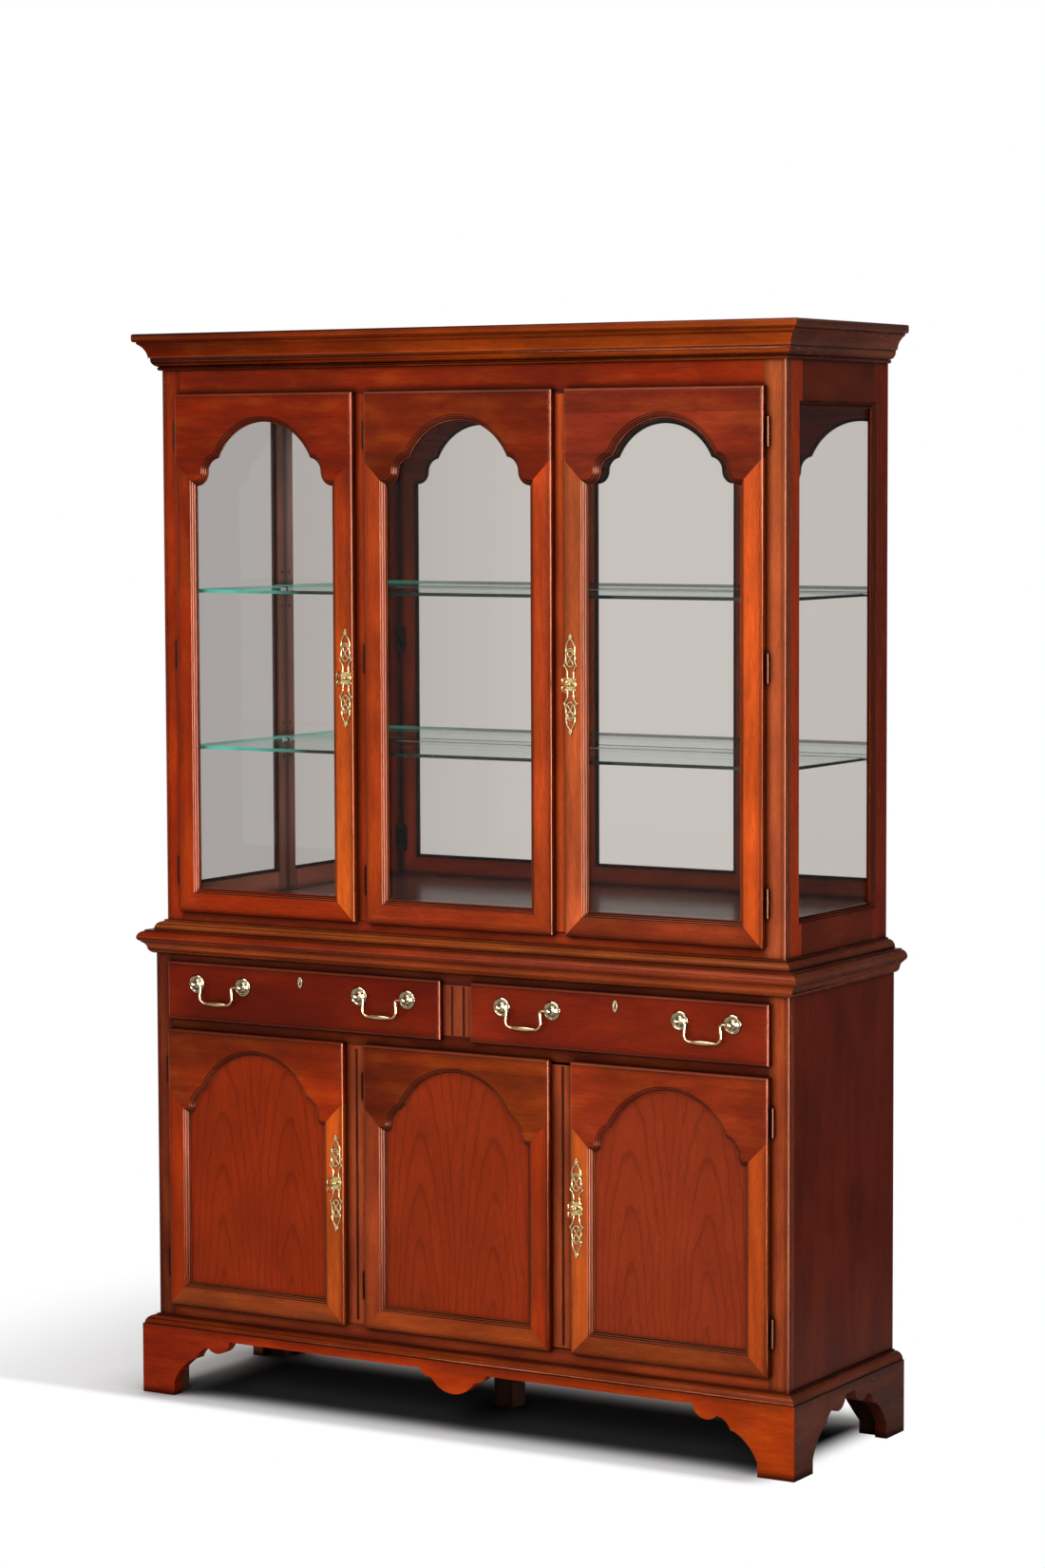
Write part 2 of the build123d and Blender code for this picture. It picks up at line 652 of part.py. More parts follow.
with BuildPart() as side_frame:
    add(box(inner_hutch, half_hutch, side_y0, hutch_back_y, top_z, hutch_top_z))
    add(moulded_opening(side_outline, side_plane, glass_depth), mode=Mode.SUBTRACT)
    with BuildSketch(side_plane(side_t)):
        side_outline(pane_lap)
    extrude(amount=side_t - glass_depth, mode=Mode.SUBTRACT)

pin_ys = (side_y0 + shelf_pin_inset, hutch_back_y - mirror_in - shelf_pin_inset)
shelf_tops = [hutch_floor_z + height for height in shelf_heights]
pin_zs = [top - glass_shelf_t - shelf_pin_r for top in shelf_tops]
with BuildPart() as drilled_side:
    add(side_frame.part)
    for pin_y in pin_ys:
        for pin_z in pin_zs:
            for step in (-1, 0, 1):
                with BuildSketch(Plane(origin=(inner_hutch, pin_y, pin_z + step * pin_hole_pitch),
                                       z_dir=(1, 0, 0))):
                    Circle(shelf_pin_r)
                extrude(amount=shelf_pin_hole, mode=Mode.SUBTRACT)

side_z0 = side_open_z0 - stick_w
side_z1 = side_open_z0 + side_open_h + stick_w
open_y0 = side_y0 + side_front_stile + stick_w
open_y1 = hutch_back_y - side_rear_stile - stick_w


def side_member(y0, y1, z0, z1):
    """One stile or rail, taken out of the moulded side frame."""
    with BuildPart() as member:
        add(drilled_side.part)
        add(box(inner_hutch, half_hutch, y0, y1, z0, z1), mode=Mode.INTERSECT)
    return member.part


side_members = [
    side_member(side_y0, open_y0, top_z, hutch_top_z),
    side_member(open_y1, hutch_back_y, top_z, hutch_top_z),
    side_member(open_y0, open_y1, top_z, side_open_z0),
    side_member(open_y0, open_y1, side_open_z0 + side_open_h, hutch_top_z),
]
save("hutch_side_frames", side_members + [mirrored(member) for member in side_members])

with BuildPart() as side_pane:
    with BuildSketch(side_plane(glass_depth + glass_t)):
        side_outline(pane_lap - pane_clear)
    extrude(amount=glass_t)
save("hutch_side_glass", [side_pane.part, mirrored(side_pane.part)])

# mirror over the whole back, on battens in front of the back panel
mirror_y0 = hutch_back_y - mirror_in
mirror_y1 = mirror_y0 + mirror_t
save("mirror", [box(-inner_hutch, inner_hutch, mirror_y0, mirror_y1, hutch_floor_z, roof_z)])
batten_x = inner_hutch - batten_w
batten = box(batten_x, inner_hutch, mirror_y1, hutch_inner_back, hutch_floor_z, roof_z)
save("mirror_battens", [
    batten, mirrored(batten),
    box(-batten_x, batten_x, mirror_y1, hutch_inner_back, hutch_floor_z, hutch_floor_z + batten_w),
    box(-batten_x, batten_x, mirror_y1, hutch_inner_back, roof_z - batten_w, roof_z),
])


# glass shelves on brass pins
def glass_shelf(top):
    """One glass shelf with a plate groove near its back edge."""
    y0 = hutch_frame_back + glass_shelf_front
    y1 = mirror_y0 - glass_shelf_clear
    x1 = inner_hutch - glass_shelf_clear
    with BuildPart() as shelf:
        add(box(-x1, x1, y0, y1, top - glass_shelf_t, top))
        groove_y = y1 - plate_groove_back
        add(box(-x1, x1, groove_y, groove_y + plate_groove_w, top - plate_groove_depth, top), mode=Mode.SUBTRACT)
    return shelf.part


save("glass_shelves", [glass_shelf(top) for top in shelf_tops])


def shelf_pin(pin_y, pin_z):
    """A collared pin in its hole in the right-hand side frame."""
    with BuildPart() as pin:
        with BuildSketch(Plane(origin=(inner_hutch + shelf_pin_hole, pin_y, pin_z), z_dir=(-1, 0, 0))):
            Circle(shelf_pin_r)
        extrude(amount=shelf_pin_len)
        with BuildSketch(Plane(origin=(inner_hutch, pin_y, pin_z), z_dir=(-1, 0, 0))):
            Circle(collar_r)
        extrude(amount=collar_t)
    return pin.part


right_pins = [shelf_pin(pin_y, pin_z) for pin_y in pin_ys for pin_z in pin_zs]
save("shelf_pins", right_pins + [mirrored(pin) for pin in right_pins])


# ---------------------------------------------------------------- doors
def arch_geometry(form):
    """Half the opening, the places of the hook and lobe arcs, and the big arch's centre and radius."""
    half_open = form["width"] / 2 - stile_flat - stick_w
    foot_z = form["height"] - form["foot_drop"]
    hook_z = foot_z + form["hook_r"]
    lobe_x = half_open - form["hook_r"] - form["lobe_r"]
    arch_r = half_open - form["shoulder"]
    arch_z = form["height"] - form["top_drop"] - arch_r
    return half_open, foot_z, hook_z, lobe_x, arch_z, arch_r


def cusp_point(big, small, lobe_x, rise):
    """Upper crossing of the arch circle and a lobe circle whose centre is lobe_x out and rise above it."""
    gap = sqrt(lobe_x * lobe_x + rise * rise)
    along = (big * big - small * small + gap * gap) / (2 * gap)
    across = sqrt(big * big - along * along)
    return (along * lobe_x - across * rise) / gap, (along * rise + across * lobe_x) / gap


def arched_outline(form, grow):
    """Outline of an arched opening, grown outwards by grow."""
    half_open, foot_z, hook_z, lobe_x, arch_z, arch_r = arch_geometry(form)
    big, small, hook = arch_r + grow, form["lobe_r"] + grow, form["hook_r"] - grow
    edge = half_open + grow
    sill = stile_flat + stick_w - grow
    turn = lobe_x + small
    cusp_x, cusp_up = cusp_point(big, small, lobe_x, hook_z - arch_z)
    cusp_z = arch_z + cusp_up
    mid_x, mid_z = (cusp_x + turn) / 2 - lobe_x, (cusp_z + hook_z) / 2 - hook_z
    scale = small / sqrt(mid_x * mid_x + mid_z * mid_z)
    lobe_mid = (lobe_x + mid_x * scale, hook_z + mid_z * scale)
    diag = hook / sqrt(2)
    hook_mid = (half_open - diag, hook_z - diag)
    with BuildLine() as outline:
        ThreePointArc((-cusp_x, cusp_z), (0, arch_z + big), (cusp_x, cusp_z))
        for s in (-1, 1):
            ThreePointArc((s * cusp_x, cusp_z), (s * lobe_mid[0], lobe_mid[1]), (s * turn, hook_z))
            ThreePointArc((s * turn, hook_z), (s * hook_mid[0], hook_mid[1]), (s * half_open, hook_z - hook))
            if edge > half_open:
                Line((s * half_open, hook_z - hook), (s * edge, hook_z - hook))
            Line((s * edge, hook_z - hook), (s * edge, sill))
        Line((-edge, sill), (edge, sill))
    make_face(outline.edges())


def door_blank(plane, width, height, thick):
    """A slab with a rounded edge and a small step inside it, as on a lipped door or drawer."""
    with BuildPart() as blank:
        with BuildSketch(plane):
            Rectangle(width, height, align=(Align.CENTER, Align.MIN))
        extrude(amount=thick - edge_step)
        fillet(blank.faces().sort_by(Axis.Y)[0].edges(), edge_r)
        with BuildSketch(plane.offset(thick - edge_step)):
            with Locations((0, edge_r)):
                Rectangle(width - 2 * edge_r, height - 2 * edge_r, align=(Align.CENTER, Align.MIN))
        extrude(amount=edge_step)
    return blank.part


def door_frame(x_mid, face_y, z0, form, pane_depth, hinge_side, hinge_zs, lock_z):
    """Two stiles, an arched head and a bottom rail, joined on mitres, as four solids."""
    half_open, foot_z, *_ = arch_geometry(form)
    width, height = form["width"], form["height"]
    half = width / 2
    pane_seat = door_t - pane_depth

    def depth_plane(depth):
        return front_plane(x_mid, face_y - door_t + depth, z0)

    with BuildPart() as whole:
        add(door_blank(front_plane(x_mid, face_y, z0), width, height, door_t))
        add(moulded_opening(lambda grow: arched_outline(form, grow), depth_plane, pane_depth),
            mode=Mode.SUBTRACT)
        with BuildSketch(front_plane(x_mid, face_y, z0)):
            arched_outline(form, pane_lap)
        extrude(amount=pane_seat, mode=Mode.SUBTRACT)
        for z in hinge_zs:
            seat_mid = x_mid + hinge_side * (half - leaf_w / 2)
            with BuildSketch(front_plane(seat_mid, face_y, z)):
                Rectangle(leaf_w, hinge_len)
            extrude(amount=leaf_t + leaf_clear, mode=Mode.SUBTRACT)
        if lock_z:
            with BuildSketch(front_plane(x_mid - hinge_side * (half - lock_inset), face_y, z0 + lock_z)):
                Circle(key_r + 1.5)
            extrude(amount=door_t, mode=Mode.SUBTRACT)

    corner = half_open
    rise = half - half_open
    regions = {
        "head": [(-half, foot_z + rise), (-corner, foot_z), (corner, foot_z), (half, foot_z + rise),
                 (half, height), (-half, height)],
        "left": [(-half, 0), (-corner, rise), (-corner, foot_z), (-half, foot_z + rise)],
        "right": [(half, 0), (corner, rise), (corner, foot_z), (half, foot_z + rise)],
        "sill": [(-half, 0), (half, 0), (corner, rise), (-corner, rise)],
    }
    members = []
    for points in regions.values():
        with BuildPart() as member:
            add(whole.part)
            with BuildSketch(front_plane(x_mid, face_y, z0)):
                with BuildLine():
                    Polyline(*points, close=True)
                make_face()
            extrude(amount=door_t, mode=Mode.INTERSECT)
        members.append(member.part)
    return members


def pane(x_mid, face_y, z0, form, seat, thick):
    """Glass or panel that fills the opening of a door, lying on its seat from behind."""
    with BuildPart() as sheet:
        with BuildSketch(front_plane(x_mid, face_y - seat + thick, z0)):
            arched_outline(form, pane_lap - pane_clear)
        extrude(amount=thick)
    return sheet.part


def knuckle(x, y, z0, z1, bore):
    """A hinge knuckle, bored if it turns on the pin."""
    with BuildPart() as ring:
        with BuildSketch(Plane(origin=(x, y, z0), z_dir=(0, 0, 1))):
            Circle(knuckle_r)
            if bore:
                Circle(pin_r + pin_clear, mode=Mode.SUBTRACT)
        extrude(amount=z1 - z0)
    return ring.part


def hinge_axis(edge_x, hinge_side, face_y):
    """Place of a hinge axis: outside the door edge and in front of the frame."""
    return edge_x + hinge_side * hinge_out, face_y - hinge_proud


def door_leaf(edge_x, hinge_side, face_y, z):
    """Door half of a hinge: the middle knuckle, its web and the leaf let into the door's back."""
    x, y = hinge_axis(edge_x, hinge_side, face_y)
    half = hinge_len / 2
    k0, k1 = z - half + knuckle_end + knuckle_gap, z + half - knuckle_end - knuckle_gap
    web_y = face_y - leaf_clear
    bore_keep = pin_r + pin_clear + 0.3
    with BuildPart() as leaf:
        add(knuckle(x, y, k0, k1, True))
        add(box(edge_x - hinge_side * leaf_w, edge_x, web_y - leaf_t, web_y, z - half, z + half))
        add(box(edge_x, x, web_y - leaf_t, web_y, k0, k1))
        add(box(x, x - hinge_side * leaf_t, web_y - leaf_t, y + bore_keep, k0, k1))
    return leaf.part


def frame_leaf(edge_x, hinge_side, face_y, z):
    """Case half of a hinge: outer knuckles on the pin, and a leaf that wraps the frame edge."""
    x, y = hinge_axis(edge_x, hinge_side, face_y)
    half = hinge_len / 2
    jamb_x = edge_x - hinge_side * door_lap
    out_x = x + hinge_side * leaf_t
    with BuildPart() as leaf:
        for k0, k1 in ((z - half, z - half + knuckle_end), (z + half - knuckle_end, z + half)):
            add(knuckle(x, y, k0, k1, False))
            add(box(x, out_x, y, face_y, k0, k1))
        with BuildSketch(Plane(origin=(x, y, z - half), z_dir=(0, 0, 1))):
            Circle(pin_r)
        extrude(amount=hinge_len)
        add(box(jamb_x, out_x, face_y, face_y + leaf_t, z - half, z + half))
        add(box(jamb_x, jamb_x - hinge_side * leaf_t, face_y, face_y + frame_t, z - half, z + half))
    return leaf.part


def escutcheon(x, face_y, z):
    """Pierced key plate in two layers: pointed ends, drop loops, rings with crossed bars, a round centre."""
    half = plate_h / 2
    ring_z, ring_rx, ring_rz = 46.0, 9.0, 15.5
    knot_z, knot_r = 52.5, 5.2
    cusp_x, cusp_z = 12.2, 32.5
    waist_x, waist_z = 5.8, 19.0
    centre_r, ear = 10.6, 0.6
    with BuildPart() as plate:
        for width, top in ((strand_w, plate_t * 0.6), (strand_w / 2, plate_t)):
            grow = width / 2
            with BuildSketch(front_plane(x, face_y, z)):
                with Locations((0, ring_z), (0, -ring_z)):
                    Ellipse(ring_rx + grow, ring_rz + grow)
                with Locations((0, ring_z), (0, -ring_z)):
                    Ellipse(ring_rx - grow, ring_rz - grow, mode=Mode.SUBTRACT)
                with Locations((0, knot_z), (0, -knot_z)):
                    Circle(knot_r + grow)
                with Locations((0, knot_z), (0, -knot_z)):
                    Circle(knot_r - grow, mode=Mode.SUBTRACT)
                for s in (-1, 1):
                    for r in (-1, 1):
                        with BuildLine() as bars:
                            ThreePointArc((r * 0.8, s * 78.0), (r * 6.4, s * 70.0), (r * 8.4, s * 56.0))
                            Line((r * -4.0, s * 50.0), (r * 6.8, s * 33.5))
                            Line((r * 8.6, s * 40.0), (r * cusp_x, s * cusp_z))
                            ThreePointArc((r * cusp_x, s * cusp_z), (r * 7.6, s * 26.5), (r * waist_x, s * waist_z))
                            Line((r * waist_x, s * waist_z), (r * waist_x, s * 8.0))
                        trace(bars.edges(), line_width=width)
                        with Locations((r * 9.4, s * 42.0), (r * 9.6, s * 8.8), (r * cusp_x, s * cusp_z)):
                            Circle(grow + ear)
                    with BuildLine():
                        Polyline((0, s * half), (3.0 + grow / 2, s * (half - 7.5)), (2.0, s * (half - 11.5)),
                                 (-2.0, s * (half - 11.5)), (-3.0 - grow / 2, s * (half - 7.5)), close=True)
                    make_face()
                Circle(centre_r + grow)
                Circle(key_r + 1.2, mode=Mode.SUBTRACT)
            extrude(amount=top)
    return plate.part


def lock_case(x, face_y, z):
    """Lock on the back of a door, bored for the key."""
    with BuildPart() as case:
        with BuildSketch(front_plane(x, face_y + lock_t, z)):
            Rectangle(lock_w, lock_h)
            Circle(key_r + key_bore_clear, mode=Mode.SUBTRACT)
        extrude(amount=lock_t)
    return case.part


def key(x, face_y, z):
    """Key with an open bow across the door and a cam on its inner end."""
    plate_y = face_y - key_axis_out
    bow_y = plate_y - key_reach
    tail_y = face_y + frame_t + cam_gap + cam_t
    bow_mid = bow_y + bow_d / 2
    side_view = Plane(origin=(x - bow_t / 2, bow_mid, z), x_dir=(0, 1, 0), z_dir=(1, 0, 0))
    with BuildPart() as whole:
        with BuildSketch(front_plane(x, tail_y, z)):
            Circle(key_r)
        extrude(amount=tail_y - bow_y - bow_d + bow_rim)
        with BuildSketch(front_plane(x, plate_y - 5.0, z)):
            Circle(key_r + 1.4)
        extrude(amount=2.5)
        with BuildSketch(side_view):
            with Locations((0, bow_h / 4), (0, -bow_h / 4)):
                Ellipse(bow_d / 2, bow_h / 4 + 0.6)
            with Locations((0, bow_h / 4), (0, -bow_h / 4)):
                Ellipse(bow_d / 2 - bow_rim, bow_h / 4 + 0.6 - bow_rim, mode=Mode.SUBTRACT)
        extrude(amount=bow_t)
        with BuildSketch(front_plane(x, tail_y, z)):
            with Locations((0, cam_w / 2)):
                SlotOverall(cam_len + cam_w / 2, cam_w, rotation=90, align=(Align.MAX, Align.CENTER))
        extrude(amount=cam_t)
    return whole.part


def astragal(middle_x, x_end, face_y, z0, z1, fluted):
    """Meeting strip fixed behind the free edge of the middle door."""
    x0 = middle_x - astragal_seat
    with BuildPart() as strip:
        add(box(x0, x_end, face_y, face_y + astragal_t, z0, z1))
        if fluted:
            add(flute((middle_x + x_end + meeting_gap) / 2, face_y, *base_flute_z), mode=Mode.SUBTRACT)
    return strip.part


storeys = [
    dict(kind=GLASS, face_y=hutch_front_y, z0=hutch_door_z,
         form=dict(glass_arch, width=hutch_door_w, height=hutch_door_h),
         outer_x=hutch_outer_x, hinge_zs=hutch_hinge_z, lock_z=hutch_lock_z, pane_depth=glass_depth,
         thick=glass_t),
    dict(kind=PANEL, face_y=base_front_y, z0=base_door_z,
         form=dict(panel_arch, width=base_door_w, height=base_door_h),
         outer_x=base_outer_x, hinge_zs=base_hinge_z, lock_z=base_lock_z, pane_depth=door_t - panel_t,
         thick=panel_t),
]
frame_leaves = []
catches = []
catch_w, catch_d, catch_h = catch_size
for row in storeys:
    face_y, z0, form = row["face_y"], row["z0"], row["form"]
    height, half_door = form["height"], form["width"] / 2
    outer_mid = row["outer_x"] + half_door
    doors = [("left", -outer_mid, -1, True), ("middle", 0.0, -1, False), ("right", outer_mid, 1, True)]
    for place, x_mid, hinge_side, locked in doors:
        name = f"{row['kind']}_door_{place}"
        edge_x = x_mid + hinge_side * half_door
        lock_x = x_mid - hinge_side * (half_door - lock_inset)
        lock_z = row["lock_z"] if locked else None
        save(f"{name}_frame", door_frame(x_mid, face_y, z0, form, row["pane_depth"],
                                         hinge_side, row["hinge_zs"], lock_z))
        save(f"{name}_{row['kind']}", [pane(x_mid, face_y, z0, form, door_t - row["pane_depth"], row["thick"])])
        hardware = [door_leaf(edge_x, hinge_side, face_y, z) for z in row["hinge_zs"]]
        if locked:
            hardware += [escutcheon(lock_x, face_y - door_t, z0 + lock_z), lock_case(lock_x, face_y, z0 + lock_z)]
            save(f"{name}_key", [key(lock_x, face_y, z0 + lock_z)])
        save(f"{name}_hardware", hardware)
        frame_leaves += [frame_leaf(edge_x, hinge_side, face_y, z) for z in row["hinge_zs"]]
        catch_x = x_mid - hinge_side * half_door / 2
        open_top = z0 + height - door_lap
        catches.append(box(catch_x - catch_w / 2, catch_x + catch_w / 2, face_y, face_y + catch_d,
                           open_top - catch_h, open_top))
    save(f"{row['kind']}_door_middle_astragal",
         [astragal(half_door, row["outer_x"] - meeting_gap, face_y, z0 + door_lap + astragal_low,
                   z0 + height - door_lap - astragal_high, row["kind"] == PANEL)])
save("case_hinge_leaves", frame_leaves)
save("door_catches", catches)


# ---------------------------------------------------------------- drawers
def drawer_front(x_mid, width):
    """Lipped drawer front with a rounded edge; its body enters the opening."""
    open_w = width - 2 * drawer_lap
    body_z0 = drawer_open_z + drawer_side_clear
    body_z1 = drawer_open_top - drawer_side_clear
    with BuildPart() as front:
        add(door_blank(front_plane(x_mid, base_front_y, drawer_z), width, drawer_h, drawer_lip_t))
        add(box(x_mid - open_w / 2 + drawer_side_clear, x_mid + open_w / 2 - drawer_side_clear,
                base_front_y, base_front_y + drawer_body_t, body_z0, body_z1))
    return front.part


def drawer_box(x_mid, width):
    """Sides, back and bottom of a drawer box."""
    half = width / 2 - drawer_lap - drawer_side_clear
    y0 = base_front_y + drawer_body_t
    y1 = base_front_y + drawer_len
    z0 = drawer_open_z + drawer_run_clear
    z1 = z0 + drawer_box_h
    bottom_z = z0 + drawer_bottom_up
    side = [box(x_mid + s * half, x_mid + s * (half - drawer_wall), y0, y1, z0, z1) for s in (-1, 1)]
    inner = half - drawer_wall
    back = box(x_mid - inner, x_mid + inner, y1 - drawer_wall, y1, z0, z1)
    bottom = box(x_mid - inner, x_mid + inner, y0, y1 - drawer_wall, bottom_z, bottom_z + drawer_bottom_t)
    return side + [back, bottom]


def rosette(x, face_y, z, inward):
    """Ringed rosette with a post and a ball head, bored from its inner side for the bail."""
    out = post_out
    with BuildPart() as post:
        with BuildSketch(Plane(origin=(x, face_y, z), x_dir=(0, 0, 1), z_dir=(1, 0, 0))):
            with BuildLine():
                Polyline((0, 0), (rosette_r, 0), (rosette_r, 1.6), (rosette_r - 1.6, 2.6), (rosette_r - 3.2, 1.6),
                         (rosette_r - 4.6, 1.6), (rosette_r - 6.0, 3.2), (rosette_r - 7.6, 2.4),
                         (rosette_r - 9.6, 4.2), (3.4, 5.6), (2.8, out - ball_r + 1.0), (0, out - ball_r + 1.0),
                         (0, 0))
            make_face()
        revolve(axis=Axis((x, face_y, z), (0, -1, 0)))
        with Locations((x, face_y - out, z)):
            Sphere(ball_r)
        with BuildSketch(Plane(origin=(x, face_y - out, z), z_dir=(inward, 0, 0))):
            Circle(bail_pin_r + pin_clear)
        extrude(amount=ball_r + 1, mode=Mode.SUBTRACT)
    return post.part


def keyhole_plate(x, face_y, z):
    """Small oval key plate with a slot."""
    with BuildPart() as plate:
        with BuildSketch(front_plane(x, face_y, z)):
            Ellipse(keyhole_w / 2, keyhole_h / 2)
            SlotOverall(keyhole_h * 0.55, keyhole_w * 0.35, rotation=90, mode=Mode.SUBTRACT)
        extrude(amount=plate_t)
    return plate.part


def bail(x, face_y, z):
    """Swan-neck bail that hangs between two posts, with a thicker grip."""
    y = face_y - post_out
    post_x = pull_boring / 2
    ball_side = post_x - ball_r
    with BuildPart() as loop:
        with BuildLine(front_plane(x, y, z)) as path:
            FilletPolyline((-ball_side + 0.4, 0), (-bail_neck, 0), (-bail_knee, -bail_drop),
                           (bail_knee, -bail_drop), (bail_neck, 0), (ball_side - 0.4, 0),
                           radius=[4.5, 12.0, 12.0, 4.5])
        with BuildSketch(Plane(origin=path.line @ 0, z_dir=path.line % 0)):
            Circle(bail_r)
        sweep()
        for s in (-1, 1):
            with BuildSketch(Plane(origin=(x + s * (ball_side - 2.0), y, z), z_dir=(s, 0, 0))):
                Circle(bail_pin_r)
            extrude(amount=ball_r + 1.0)
        with BuildSketch(front_plane(x, y, z)):
            with BuildLine():
                Line((-22, -bail_drop), (22, -bail_drop))
                Line((-22, -bail_drop), (-22, -bail_drop - bail_r * 0.9))
                ThreePointArc((-22, -bail_drop - bail_r * 0.9), (0, -bail_drop - grip_r),
                              (22, -bail_drop - bail_r * 0.9))
                Line((22, -bail_drop - bail_r * 0.9), (22, -bail_drop))
            make_face()
        revolve(axis=Axis((x, y, z - bail_drop), (1, 0, 0)))
    return loop.part


drawer_w = base_outer_x + base_door_w - drawer_gap / 2
drawer_face_y = base_front_y - drawer_lip_t
for place, s in (("left", -1), ("right", 1)):
    x_mid = s * (drawer_gap / 2 + drawer_w / 2)
    save(f"drawer_{place}_front", [drawer_front(x_mid, drawer_w)])
    save(f"drawer_{place}_box", drawer_box(x_mid, drawer_w))
    pulls = [keyhole_plate(x_mid, drawer_face_y, drawer_z + keyhole_up)]
    for end, offset in (("a", -pull_offset), ("b", pull_offset)):
        pull_x = x_mid + offset
        for side in (-1, 1):
            pulls.append(rosette(pull_x + side * pull_boring / 2, drawer_face_y, drawer_z + pull_z, -side))
        save(f"drawer_{place}_bail_{end}", [bail(pull_x, drawer_face_y, drawer_z + pull_z)])
    save(f"drawer_{place}_pulls", pulls)
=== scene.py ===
import json
import math

import bpy
import numpy as np
from mathutils import Euler, Matrix, Vector

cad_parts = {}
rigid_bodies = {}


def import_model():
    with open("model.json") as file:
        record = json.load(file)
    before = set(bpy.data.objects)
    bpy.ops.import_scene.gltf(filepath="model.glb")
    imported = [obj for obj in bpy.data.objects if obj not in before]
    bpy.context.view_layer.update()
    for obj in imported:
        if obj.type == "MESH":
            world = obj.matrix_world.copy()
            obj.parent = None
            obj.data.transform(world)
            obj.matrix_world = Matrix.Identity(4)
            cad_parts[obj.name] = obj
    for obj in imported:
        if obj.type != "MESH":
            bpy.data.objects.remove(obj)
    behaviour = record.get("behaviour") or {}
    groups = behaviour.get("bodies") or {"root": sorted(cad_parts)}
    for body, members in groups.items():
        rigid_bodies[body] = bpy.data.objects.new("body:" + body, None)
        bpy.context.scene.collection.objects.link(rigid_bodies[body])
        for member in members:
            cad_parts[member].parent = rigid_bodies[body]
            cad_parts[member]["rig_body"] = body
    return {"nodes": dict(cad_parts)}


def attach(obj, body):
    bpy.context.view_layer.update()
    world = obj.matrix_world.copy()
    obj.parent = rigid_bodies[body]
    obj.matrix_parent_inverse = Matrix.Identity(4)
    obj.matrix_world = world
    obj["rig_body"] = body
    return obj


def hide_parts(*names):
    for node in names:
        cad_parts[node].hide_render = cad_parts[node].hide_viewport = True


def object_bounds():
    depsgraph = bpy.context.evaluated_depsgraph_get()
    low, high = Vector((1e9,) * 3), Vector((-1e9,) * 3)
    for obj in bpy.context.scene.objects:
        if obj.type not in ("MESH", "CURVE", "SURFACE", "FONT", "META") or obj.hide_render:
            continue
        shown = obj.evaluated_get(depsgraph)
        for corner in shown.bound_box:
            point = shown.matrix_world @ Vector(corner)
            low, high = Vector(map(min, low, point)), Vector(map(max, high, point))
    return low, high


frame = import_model()
caseLow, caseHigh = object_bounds()
cabinetNodes = frame["nodes"]
print("frame loaded:", len(cabinetNodes), "nodes")

smooth = {"interpolation_type": "SMOOTHSTEP"}


def linearColour(hexColour):
    channels = [int(hexColour[i:i + 2], 16) / 255 for i in (1, 3, 5)]
    return tuple(c / 12.92 if c <= 0.04045 else ((c + 0.055) / 1.055) ** 2.4 for c in channels) + (1.0,)


def addNode(tree, kind, settings=None, **sockets):
    # settings are the node's own options; sockets go by input name or in0, in1..., and take a value,
    # an output, or another node for its first output
    node = tree.nodes.new("ShaderNode" + kind)
    for option, value in (settings or {}).items():
        setattr(node, option, value)
    for name, value in sockets.items():
        numbered = name[:2] == "in" and name[2:].isdigit()
        socket = node.inputs[int(name[2:]) if numbered else name.replace("_", " ")]
        if isinstance(value, bpy.types.Node):
            value = value.outputs[0]
        if isinstance(value, bpy.types.NodeSocket):
            tree.links.new(value, socket)
        else:
            socket.default_value = value
    return node


def newMaterial(name):
    material = bpy.data.materials.new(name)
    material.use_nodes = True
    material.node_tree.nodes.clear()
    return material, material.node_tree


def selectOnly(piece):
    bpy.ops.object.select_all(action="DESELECT")
    piece.select_set(True)
    bpy.context.view_layer.objects.active = piece


# Lacquered cherry, planed and rubbed: a red-brown stain over fine straight fibres, satin with a soft shine.
# Each pattern has its width and length in metres, how much it shades the wood, and its noise.
cherryFinish = dict(
    fibreSize=(0.0013, 0.016), fibreDepth=0.17,                 # drawn coarser than real ones, to show
    fibreNoise=dict(Detail=2.0, Roughness=0.6),
    figureSize=(0.008, 0.09), figureDepth=0.15,                 # broad darker streaks
    figureNoise=dict(Detail=3.0, Roughness=0.55, Distortion=0.4),
    mottleSize=(0.035, 0.105), mottleDepth=0.16, mottleNoise=dict(Detail=2.0, Roughness=0.5),
    cloudSize=(0.16, 0.224), cloudDepth=0.22, cloudNoise=dict(Detail=1.0, Roughness=0.5),
    patternRange=dict(From_Min=0.3, From_Max=0.7),              # where a noise is cut off below and above
    cloudRange=dict(From_Min=0.35, From_Max=0.65),
    lightShare=0.6,                                             # patterns darken more than they lighten
    boardShift=(1.37, 0.83, 2.11),                              # moves the patterns from board to board
    golden="#8c4a10", goldenAmount=0.16,                        # sapwood and worn stain show through golden
    goldenRange=dict(From_Min=0.46, From_Max=0.72),
    paintedShadeColour="#100301", paintedShadeAmount=0.90, paintedShadeReach=0.015,        # painted shade: a near-black colour laid into quirks, corners and where parts meet
    paintedShadeSamples=5, hollowRange=dict(From_Min=0.5, From_Max=0.97),  # how closed in a corner is, for the painted shade
    lineRange=dict(From_Min=0.15, From_Max=0.85),               # how near it comes to the line of a quirk
    rimWidth=0.011, rimDepth=0.42,                              # the stain was wiped darker along board edges
    crest="#a85a40", crestAmount=0.30, crestSpared=0.7,         # ridges lighter, partly rubbed-through wear and partly painted highlight, with less painted shade
    easedEdge=0.0005, edgeSamples=4,                            # sandpapered corners
    roughness=0.23, roughSpread=0.06, bump=0.00006,
    bend=1.5, specular=0.27, shine="#ffb89c", shineInPaintedShade=0.15,  # the amber lacquer warms every highlight
)
